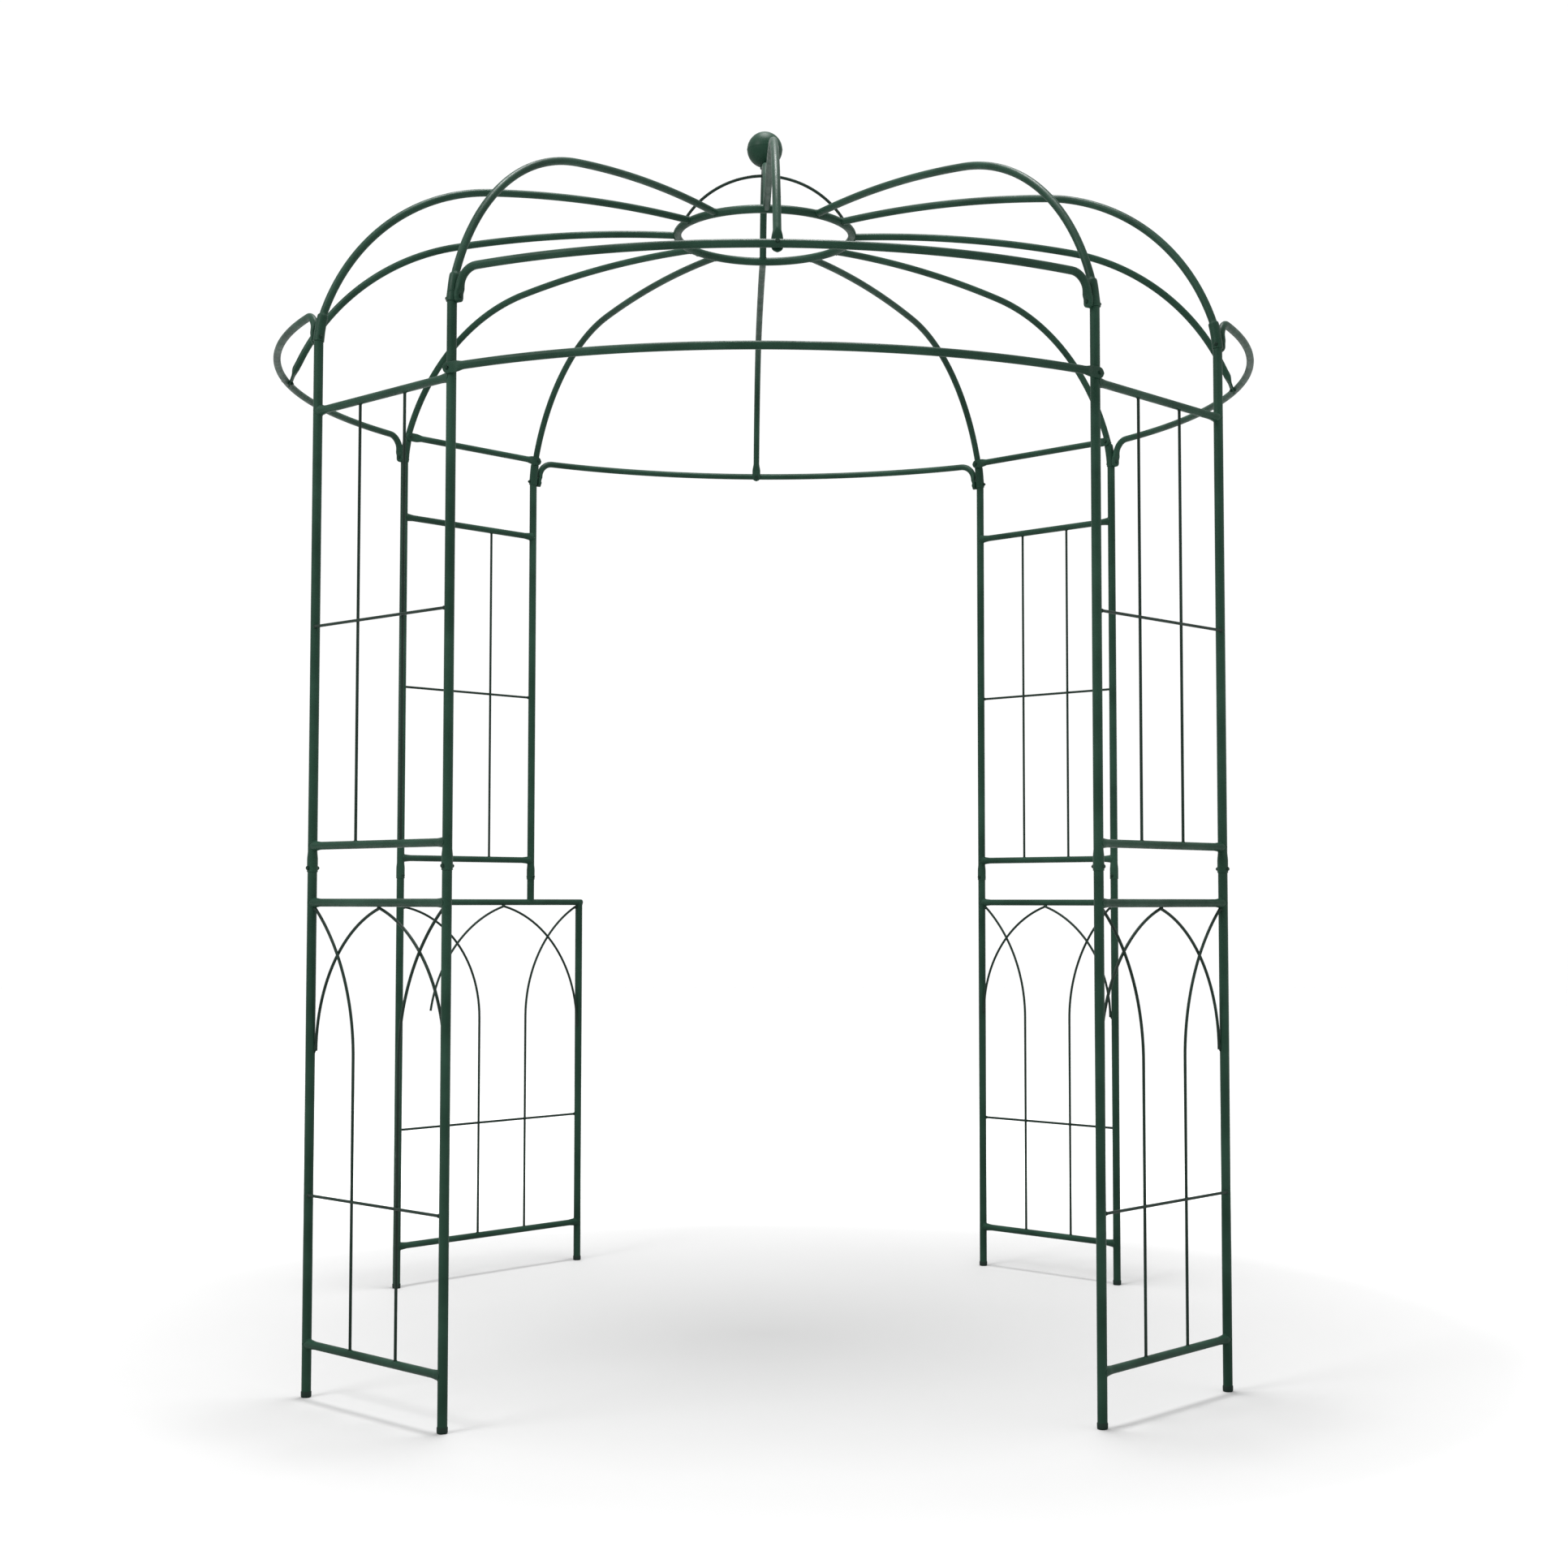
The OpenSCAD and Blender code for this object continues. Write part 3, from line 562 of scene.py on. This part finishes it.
def upper_lattice(panel):
    lattice = Surface(on_panel(panel))
    for y in STANDARD_RODS:
        low = Vector((0, y, UPPER_RAIL_Z + TUBE_R * 0.9))
        high = Vector((0, y, TOP_RAIL_Z - TUBE_R * 0.9))
        tube(lattice, low, high, ROD_R, ROD_SIDES)
        rod_on_rail(lattice, y, UPPER_RAIL_Z, Z)
        rod_on_rail(lattice, y, TOP_RAIL_Z, -Z)
    cross_rod(lattice, -HALF_W, HALF_W, UPPER_CROSS_Z, STANDARD_RODS)
    lattice.finish(f"{panel}_upper_lattice_look", rod_green, "rod_green", f"{panel}_upper_lattice")


# ---- dome ----

def rib_point(phi, crown):
    centre, radius = (crown_centre, CROWN_ARC_R) if crown else (shoulder_centre, SHOULDER_ARC_R)
    return Vector((centre[0] + radius * math.sin(phi), 0, centre[1] + radius * math.cos(phi)))


def rib_path(end_phi):
    """From the ring outward over the crest and down the shoulder to end_phi."""
    crown = [rib_point(p, True) for p in spread(crown_phi, shoulder_phi, 26)]
    shoulder = [rib_point(p, False) for p in spread(shoulder_phi, end_phi, 34)]
    return crown + shoulder[1:]


SOCKET_L = 0.045         # length of the wide socket above the bolt
SWELL_L = 0.0035         # over which the rib's tube widens into it
ARC_END = math.radians(70)   # where a leg's rib leaves the shoulder's arc


def leg_rib(name, angle):
    rib = Surface(turned(angle))
    end = Vector((PLAN_R + 0.0004, 0, EAVE_Z - 0.0075))
    path = rib_path(ARC_END)
    lean = (path[-1] - path[-2]).normalized()
    start = path[-1]
    length = (end - start).length
    for t in spread(0, 1, 22)[1:]:
        # Hermite blend from the arc's slope to a steeper one at the socket's end
        h1, h2 = 2 * t ** 3 - 3 * t ** 2 + 1, t ** 3 - 2 * t ** 2 + t
        h3, h4 = -2 * t ** 3 + 3 * t ** 2, t ** 3 - t ** 2
        steep = Vector((0.12, 0, -1)).normalized()
        path.append(start * h1 + lean * (h2 * length) + end * h3 + steep * (h4 * length))
    sizes = []
    for p in path:
        above = p.z - EAVE_Z
        swell = ease((SOCKET_L + SWELL_L - above) / SWELL_L)
        flare = ease((0.018 - above) / 0.025) * 0.0004
        r = mix(TUBE_R, BELL_R + 0.0001, swell) + flare * swell
        sizes.append((r, r, 2))
    rib.sweep(path, sizes, Vector((0, 1, 0)))
    lip = [
        (BELL_R + 0.0005, -0.0012), (BELL_R + 0.0007, -0.0003), (BELL_R + 0.0003, 0.0003),
        (LEG_R + 0.0002, 0.0003),
    ]
    rib.turn(path[-1], Vector((0.10, 0, -1)).normalized(), lip)
    ring_bead(rib, path[0], path[1])
    rib.finish(f"{name}_look", frame_green, "frame_green", name)


def ring_bead(surface, start, towards):
    """Bead where a rib meets the crown ring's outer side."""
    along = (towards - start).normalized()
    bead(surface, start - along * LEG_R, along, Vector((0, 1, 0)), TUBE_R, TUBE_R, LEG_R + 0.0002)


TAB_RUN = 0.06           # length of a tube that is drawn finely for its pressed end


def tab_size(distance, thick_first):
    """Section of a pressed end at a distance from its rounded tip; thick_first puts the thin side first."""
    bolt_at = TAB_W / 2
    flat_from = bolt_at + 0.015
    taper = 0.022
    t = ease((distance - flat_from) / taper)
    thin = mix(TAB_T / 2, TUBE_R, t)
    wide = mix(TAB_W / 2, TUBE_R, ease((distance - flat_from - 0.002) / taper))
    power = mix(5, 2, t)
    if distance < bolt_at:
        inner = max(bolt_at ** 2 - (bolt_at - distance) ** 2, 1e-8)
        wide = max(math.sqrt(inner), 0.0012)
    return (thin, wide, power) if thick_first else (wide, thin, power)


def lengths_to_end(path):
    """Distance of each point of a path from the path's last point."""
    out = [0.0]
    for a, b in zip(reversed(path[:-1]), reversed(path[1:])):
        out.append(out[-1] + (b - a).length)
    return list(reversed(out))


def middle_rib(name, angle):
    rib = Surface(turned(angle))
    lead_phi = (TAB_W / 2 + 0.040) / SHOULDER_ARC_R
    path = rib_path(tab_phi - lead_phi)
    along = (path[-1] - path[-2]).normalized()
    down = Vector((math.cos(tab_phi), 0, -math.sin(tab_phi)))
    tip = rib_point(tab_phi, False) + down * (TAB_W / 2)
    start = path[-1]
    for t in spread(0, 1, 30)[1:]:
        straight = tip - down * ((1 - t) * (tip - start).length)
        curve = start + along * (t * (tip - start).length)
        path.append(curve.lerp(straight, ease(t * 2)))
    sizes = [tab_size(d, True) for d in lengths_to_end(path)]
    rib.sweep(path, sizes, Vector((0, 1, 0)))
    ring_bead(rib, path[0], path[1])
    rib.finish(f"{name}_look", frame_green, "frame_green", name)


BEND_R = 0.038
BEND_LEAD = 0.006                   # straight run between the arch and its end bend
DROP_X = BELL_R + TUBE_R + 0.0004   # from a leg's axis to the arch's turned-down end
FOOT_T = 0.0050                     # half thickness and half width of the pressed foot
FOOT_W = 0.0104
FOOT_X = BELL_R + 0.0003 + FOOT_T   # from a leg's axis to the middle of the pressed foot
FOOT_DROP = 0.0115                  # from the bolt down to the foot's tip


def half_arch(side):
    """One half of a doorway arch, from its middle to its pressed foot, with sections and normals."""
    drop = DOOR_ANGLE - DROP_X / PLAN_R
    start = drop - (BEND_R + BEND_LEAD) / PLAN_R
    path = [polar(PLAN_R, side * a, ARCH_Z) for a in spread(0, start, 40)]
    centre_angle = start + BEND_LEAD / PLAN_R
    for turn in spread(0, math.pi / 2, 12):
        angle = centre_angle + BEND_R * math.sin(turn) / PLAN_R
        path.append(polar(PLAN_R, side * angle, ARCH_Z - BEND_R * (1 - math.cos(turn))))
    top = ARCH_Z - BEND_R
    bottom = EAVE_Z - FOOT_DROP
    for t in spread(0, 1, 26)[1:]:
        shift = (DROP_X - FOOT_X) * ease(t * 2.4) / PLAN_R
        path.append(polar(PLAN_R, side * (drop + shift), mix(top, bottom, t)))
    sizes = []
    for p in path:
        above = p.z - bottom
        t = ease((above - 0.018) / 0.026)
        thin, wide, power = mix(FOOT_T, TUBE_R, t), mix(FOOT_W, TUBE_R, t), mix(4, 2, t)
        if above < FOOT_W:
            wide = max(math.sqrt(max(FOOT_W ** 2 - (FOOT_W - above) ** 2, 0)), 0.0014)
        sizes.append((thin, wide, power))
    normals = [Vector((p.x, p.y, 0)).normalized() for p in path]
    return path, sizes, normals


def doorway_arch(name, angle):
    arch = Surface(turned(angle))
    path, sizes, normals = half_arch(1)
    other_path, other_sizes, other_normals = half_arch(-1)
    arch.sweep(list(reversed(other_path))[:-1] + path,
               list(reversed(other_sizes))[:-1] + sizes,
               list(reversed(other_normals))[:-1] + normals)
    arch.finish(f"{name}_look", frame_green, "frame_green", name)


def low_arch():
    arch = Surface(turned(math.radians(270)))
    radius = PLAN_R + LEG_R + TAB_T / 2
    reach = DOOR_ANGLE + TAB_W / 2 / radius
    even = spread(-reach, reach, 120)
    fine = spread(0, TAB_RUN / radius, 30)
    angles = [-reach + a for a in fine] + [a for a in even if abs(a) < reach - TAB_RUN / radius]
    angles += [reach - a for a in reversed(fine)]
    path = [polar(radius, a, LOW_ARCH_Z) for a in angles]
    normals = [Vector((p.x, p.y, 0)).normalized() for p in path]
    to_end = lengths_to_end(path)
    total = to_end[0]
    sizes = [tab_size(min(d, total - d), False) for d in to_end]
    arch.sweep(path, sizes, normals)
    arch.finish("front_low_arch_look", frame_green, "frame_green", "front_low_arch")


def tie(panel):
    name = f"{panel}_tie"
    angle = math.radians(PANELS[panel])
    bar = Surface(turned(angle))
    reach = tie_y + TAB_W / 2
    ends = spread(0, TAB_RUN, 30)
    ys = [-reach + e for e in ends] + [reach - e for e in reversed(ends)]
    sizes = [tab_size(reach - abs(y), False) for y in ys]
    path = [Vector((tie_x, y, ARCH_Z)) for y in ys]
    bar.sweep(path, sizes, Vector((1, 0, 0)), tangent=Vector((0, 1, 0)))
    bar.finish(f"{name}_look", frame_green, "frame_green", name)


# ---- crown ----

def crown_ring():
    ring = Surface()
    path = [polar(RING_R, a, RING_Z) for a in spread(0, math.tau, 97)[:-1]]
    normals = [Vector((p.x, p.y, 0)).normalized() for p in path]
    ring.sweep(path, (LEG_R, LEG_R, 2), normals, closed=True)
    # Butt weld of the bent ring
    seam = math.radians(140)
    path = [polar(RING_R, seam + d, RING_Z) for d in spread(-0.006, 0.006, 6)]
    sizes = [(LEG_R + s, LEG_R + s, 2) for s in (0.0, 0.0005, 0.0008, 0.0008, 0.0005, 0.0)]
    ring.sweep(path, sizes, [Vector((p.x, p.y, 0)).normalized() for p in path])
    ring.finish("crown_ring_look", frame_green, "frame_green", "crown_ring")


def hoop_path(apex_z, lift):
    """Arc through both sides of the ring in the plane X = 0, ending lift above the ring's centre line."""
    rise = apex_z - RING_Z
    radius = (RING_R * RING_R + rise * rise) / (2 * rise)
    low = math.asin((RING_Z + lift - apex_z + radius) / radius)
    return [
        Vector((0, radius * math.cos(a), apex_z - radius + radius * math.sin(a)))
        for a in spread(low, math.pi - low, 60)
    ]


def ring_end_bead(surface, path, half, size):
    """Weld of a hoop's end to the ring below it."""
    for end, inner in ((path[0], path[1]), (path[-1], path[-2])):
        along = (inner - end).normalized()
        blob(surface, end - along * 0.001, along, half * 2.0, half + size)


def crown_hoop():
    hoop = Surface()
    path = hoop_path(HOOP_TOP_Z - TUBE_R, LEG_R * 0.5)
    hoop.sweep(path, (TUBE_R, TUBE_R, 2), Vector((1, 0, 0)))
    for side in (-1, 1):
        bead(hoop, Vector((0, side * RING_R, RING_Z)), Z, Vector((1, 0, 0)), TUBE_R, TUBE_R, LEG_R)
    hoop.finish("crown_hoop_look", frame_green, "frame_green", "crown_hoop")


def crown_rod():
    rod = Surface(turned(math.radians(90)))
    r = ROD_R + 0.0005
    path = hoop_path(HOOP_TOP_Z - 2 * TUBE_R - r, LEG_R * 0.6)
    rod.sweep(path, (r, r, 2), Vector((1, 0, 0)), sides=ROD_SIDES)
    ring_end_bead(rod, path[2:-2], r, 0.001)
    rod.finish("crown_rod_look", rod_green, "rod_green", "crown_rod")


SEAM_H = 0.0006          # weld seam round the ball
SEAM_W = 0.0012


def finial():
    ball = Surface()
    profile = []
    for a in spread(-math.pi / 2 + 0.12, math.pi / 2 - 0.02, 61):
        bump = SEAM_H * math.exp(-((a * BALL_R) / SEAM_W) ** 2)
        profile.append(((BALL_R + bump) * math.cos(a), BALL_R * math.sin(a)))
    ball.turn(Vector((0, 0, BALL_Z)), Z, profile, 64)
    neck_z = HOOP_TOP_Z + 0.003
    ball.turn(Vector((0, 0, neck_z)), Z,
              [(0.0070, 0), (0.0080, 0.0008), (0.0080, 0.003), (0.0092, 0.005)], 32)
    ball.finish("finial_ball_look", frame_green, "frame_green", "finial_ball")
    collar = Surface()
    collar.turn(Vector((0, 0, HOOP_TOP_Z - 0.003)), Z,
                [(0.0104, 0), (0.0110, 0.0006), (0.0110, 0.0048), (0.0102, 0.0060), (0.0060, 0.0060)], 32)
    collar.finish("finial_collar_look", frame_green, "frame_green", "finial_collar")
    stud = Surface()
    thread(stud, Vector((0, 0, HOOP_TOP_Z + 0.0005)), Z, 0.0038, 0.006)
    stud.finish("finial_stud_look", hardware, "hardware", "finial_stud")


# ---- feet and fasteners ----

def foot_caps():
    caps = Surface()
    outer = LEG_R + 0.0009
    profile = [(outer - 0.0026, 0.0), (outer - 0.0012, 0.0004), (outer - 0.0003, 0.0013), (outer, 0.003),
               (outer, CAP_H - 0.0014), (outer - 0.0004, CAP_H - 0.0003), (LEG_R - 0.0002, CAP_H)]
    for panel in PANELS:
        caps.matrix = on_panel(panel)
        for y in lower_span(panel):
            caps.turn(Vector((0, y, 0)), Z, profile, 32)
    caps.finish("foot_caps_look", foot_plastic, "foot_cap", "foot_caps")


def hexagon(radius, angle):
    """Radius of a hexagon whose corners lie on radius."""
    part = (angle + math.pi / 6) % (math.pi / 3) - math.pi / 6
    return radius * math.cos(math.pi / 6) / math.cos(part)


HEAD_H = 0.0033          # bolt head and nut, each with its washer
NUT_H = 0.0035
WASHER_T = 0.0006
THREAD_L = 0.0018        # thread seen beyond the nut
THREAD_PITCH = 0.0007
RIDGE = 0.00016          # half depth of the thread


def thread(surface, base, axis, radius, length):
    """A threaded end: fine ridges and a chamfered tip."""
    steps = int(length / THREAD_PITCH * 6)
    profile = [
        (radius - RIDGE + RIDGE * math.cos(math.tau * h / THREAD_PITCH), h)
        for h in spread(0, length, steps)
    ]
    profile.append((radius - 0.0007, length + 0.0005))
    surface.turn(base, axis, profile, 20)


def hex_block(surface, base, axis, height, chamfer_both):
    """A chamfered hexagon with a washer under it, standing on base."""
    washer = [(0.0043, 0), (0.0046, 0.0002), (0.0046, 0.0005), (0.0044, WASHER_T)]
    surface.turn(base, axis, washer, 36)
    rim = HEX_R * math.cos(math.pi / 6) * 0.97
    rise = height - WASHER_T
    profile = [
        (rim if chamfer_both else HEX_R, WASHER_T), (HEX_R, WASHER_T + 0.0004),
        (HEX_R, WASHER_T + 0.72 * rise), (mix(rim, HEX_R, 0.5), WASHER_T + 0.90 * rise), (rim, height),
    ]

    def shape(radius, angle):
        return min(hexagon(HEX_R, angle), radius)

    surface.turn(base, axis, profile, 48, shape)


def bolts_and_nuts(kind, places):
    """Bolts and nuts at places of (matrix, head face, nut face) along each matrix's X."""
    bolts, nuts = Surface(), Surface()
    x = Vector((1, 0, 0))
    for matrix, head_x, nut_x in places:
        bolts.matrix = nuts.matrix = matrix
        hex_block(bolts, x * head_x, x, HEAD_H, False)
        bolts.turn(x * nut_x, x, [(BOLT_R, 0), (BOLT_R, head_x - nut_x)], 16)
        hex_block(nuts, x * nut_x, -x, NUT_H, True)
        thread(bolts, x * (nut_x - NUT_H + 0.0002), -x, BOLT_R, THREAD_L)
    bolts.finish(f"{kind}_bolts_look", hardware, "hardware", f"{kind}_bolts")
    nuts.finish(f"{kind}_nuts_look", hardware, "hardware", f"{kind}_nuts")


def fasteners():
    joints, eaves, middles, lows, ties = [], [], [], [], []
    for panel in PANELS:
        for y in (-HALF_W, HALF_W):
            place = on_panel(panel) @ Matrix.Translation((0, y, JOINT_Z))
            joints.append((place, BELL_R - SINK, -BELL_R + SINK))
    for door in range(4):
        for side in (-1, 1):
            at_leg = turned(math.radians(90 * door) + side * DOOR_ANGLE)
            place = at_leg @ Matrix.Translation((PLAN_R, 0, EAVE_Z)) @ turned(-side * math.pi / 2)
            eaves.append((place, FOOT_X + 0.0047, -BELL_R))
        at_centre = Matrix.Translation((shoulder_centre[0], 0, shoulder_centre[1]))
        at_tab = turned(math.radians(90 * door)) @ at_centre @ Matrix.Rotation(tab_phi - math.pi / 2, 4, "Y")
        middles.append((at_tab, arch_gap + TUBE_R - 0.0003, SHOULDER_ARC_R - TAB_T / 2))
    for side in (-1, 1):
        place = turned(math.radians(270) + side * DOOR_ANGLE) @ Matrix.Translation((PLAN_R, 0, LOW_ARCH_Z))
        lows.append((place, LEG_R + TAB_T, -LEG_R + SINK))
    for panel in ("back_right", "back_left"):
        for side in (-1, 1):
            at_end = Matrix.Translation((tie_x, side * tie_y, ARCH_Z))
            place = turned(math.radians(PANELS[panel])) @ at_end @ turned(math.pi)
            ties.append((place, TAB_T / 2, -TAB_T / 2 - 2 * TUBE_R + 0.0002))
    for kind, places in (("joint", joints), ("eave", eaves), ("middle_rib", middles),
                         ("low_arch", lows), ("tie", ties)):
        bolts_and_nuts(kind, places)


# ---- the object ----

for panel in PANELS:
    lower_legs(panel)
    lower_rails(panel)
    lower_lattice(panel)
    upper_legs(panel)
    upper_rails(panel)
    upper_lattice(panel)
    leg_rib(f"{panel}_rib_a", math.radians(PANELS[panel]) - HALF_ANGLE)
    leg_rib(f"{panel}_rib_b", math.radians(PANELS[panel]) + HALF_ANGLE)

for side_name, degrees in (("front", 270), ("right", 0), ("back", 90), ("left", 180)):
    middle_rib(f"{side_name}_middle_rib", math.radians(degrees))
    doorway_arch(f"{side_name}_arch", math.radians(degrees))

low_arch()
tie("back_left")
tie("back_right")
crown_ring()
crown_hoop()
crown_rod()
finial()
foot_caps()
fasteners()


# ---- stage ----

# Radius of the painted shadow, a grey disc painted into the floor's colour under the pavilion
PAINTED_SHADOW_R = 3.0             # where the floor is back to its full brightness


def pale_floor():
    mesh = bpy.data.meshes.new("floor")
    half = 20.0
    corners = [(-half, -half, 0), (half, -half, 0), (half, half, 0), (-half, half, 0)]
    mesh.from_pydata(corners, [], [(0, 1, 2, 3)])
    floor = bpy.data.objects.new("floor", mesh)
    bpy.context.scene.collection.objects.link(floor)
    material = bpy.data.materials.new("floor")
    material.use_nodes = True
    nodes, links = material.node_tree.nodes, material.node_tree.links
    shader = nodes["Principled BSDF"]
    shader.inputs["Roughness"].default_value = 0.7
    shader.inputs["Specular IOR Level"].default_value = 0.15
    # Painted shadow: the floor's colour turns grey in a soft disc under the pavilion, standing in for the
    # shade it casts
    place = nodes.new("ShaderNodeTexCoord")
    scaled = nodes.new("ShaderNodeMapping")
    scaled.inputs["Scale"].default_value = (1 / PAINTED_SHADOW_R, 1 / PAINTED_SHADOW_R, 1)
    painted_shadow = nodes.new("ShaderNodeTexGradient")
    painted_shadow.gradient_type = "SPHERICAL"
    ramp = nodes.new("ShaderNodeValToRGB")
    ramp.color_ramp.elements[0].color = (0.98, 0.98, 0.98, 1)
    ramp.color_ramp.elements[1].color = (0.345, 0.345, 0.345, 1)
    for position, grey in ((0.467, 0.50), (0.667, 0.425)):
        ramp.color_ramp.elements.new(position).color = (grey, grey, grey, 1)
    links.new(place.outputs["Object"], scaled.inputs["Vector"])
    links.new(scaled.outputs["Vector"], painted_shadow.inputs["Vector"])
    links.new(painted_shadow.outputs["Fac"], ramp.inputs["Fac"])
    links.new(ramp.outputs["Color"], shader.inputs["Base Color"])
    mesh.materials.append(material)


def area_light(name, place, target, size, power):
    data = bpy.data.lights.new(name, "AREA")
    data.shape = "DISK"
    data.size = size
    data.energy = power
    light = bpy.data.objects.new(name, data)
    bpy.context.scene.collection.objects.link(light)
    light.location = place
    light.rotation_euler = (Vector(target) - Vector(place)).to_track_quat("-Z", "Y").to_euler()


def studio():
    world = bpy.data.worlds.new("studio")
    world.use_nodes = True
    bpy.context.scene.view_settings.view_transform = "Standard"
    background = world.node_tree.nodes["Background"]
    background.inputs["Color"].default_value = (1.0, 1.0, 1.0, 1)
    background.inputs["Strength"].default_value = 1.02
    bpy.context.scene.world = world
    area_light("key", place=(-4.0, -3.5, 5.5), target=(0, 0, 1.4), size=2.5, power=240)
    area_light("fill", place=(4.5, -3.0, 3.5), target=(0, 0, 1.2), size=3.0, power=30)
    area_light("top", place=(0, 0.2, 7.0), target=(0, 0.2, 0), size=1.8, power=400)


# The camera, as solved from the pavilion's own symmetry in the photograph
EYE = Vector((-0.1057, -5.0272, 0.9780))
PITCH, YAW, ROLL = 3.047, 1.724, 0.034
SENSOR, LENS = 36.0, 50.42


def camera():
    """About five metres in front and one metre up, looking slightly upward."""
    pitch, yaw, roll = math.radians(PITCH), math.radians(YAW), math.radians(ROLL)
    forward = Vector((math.sin(yaw) * math.cos(pitch), math.cos(yaw) * math.cos(pitch), math.sin(pitch)))
    right = Vector((math.cos(yaw), -math.sin(yaw), 0))
    up = right.cross(forward)
    right, up = right * math.cos(roll) + up * math.sin(roll), up * math.cos(roll) - right * math.sin(roll)
    data = bpy.data.cameras.new("camera")
    data.sensor_width = SENSOR
    data.lens = LENS
    data.clip_end = 100
    seat = bpy.data.objects.new("camera", data)
    bpy.context.scene.collection.objects.link(seat)
    turn = Matrix((right, up, -forward)).transposed().to_4x4()
    seat.matrix_world = Matrix.Translation(EYE) @ turn
    bpy.context.scene.camera = seat


pale_floor()
studio()
camera()

bpy.context.view_layer.update()
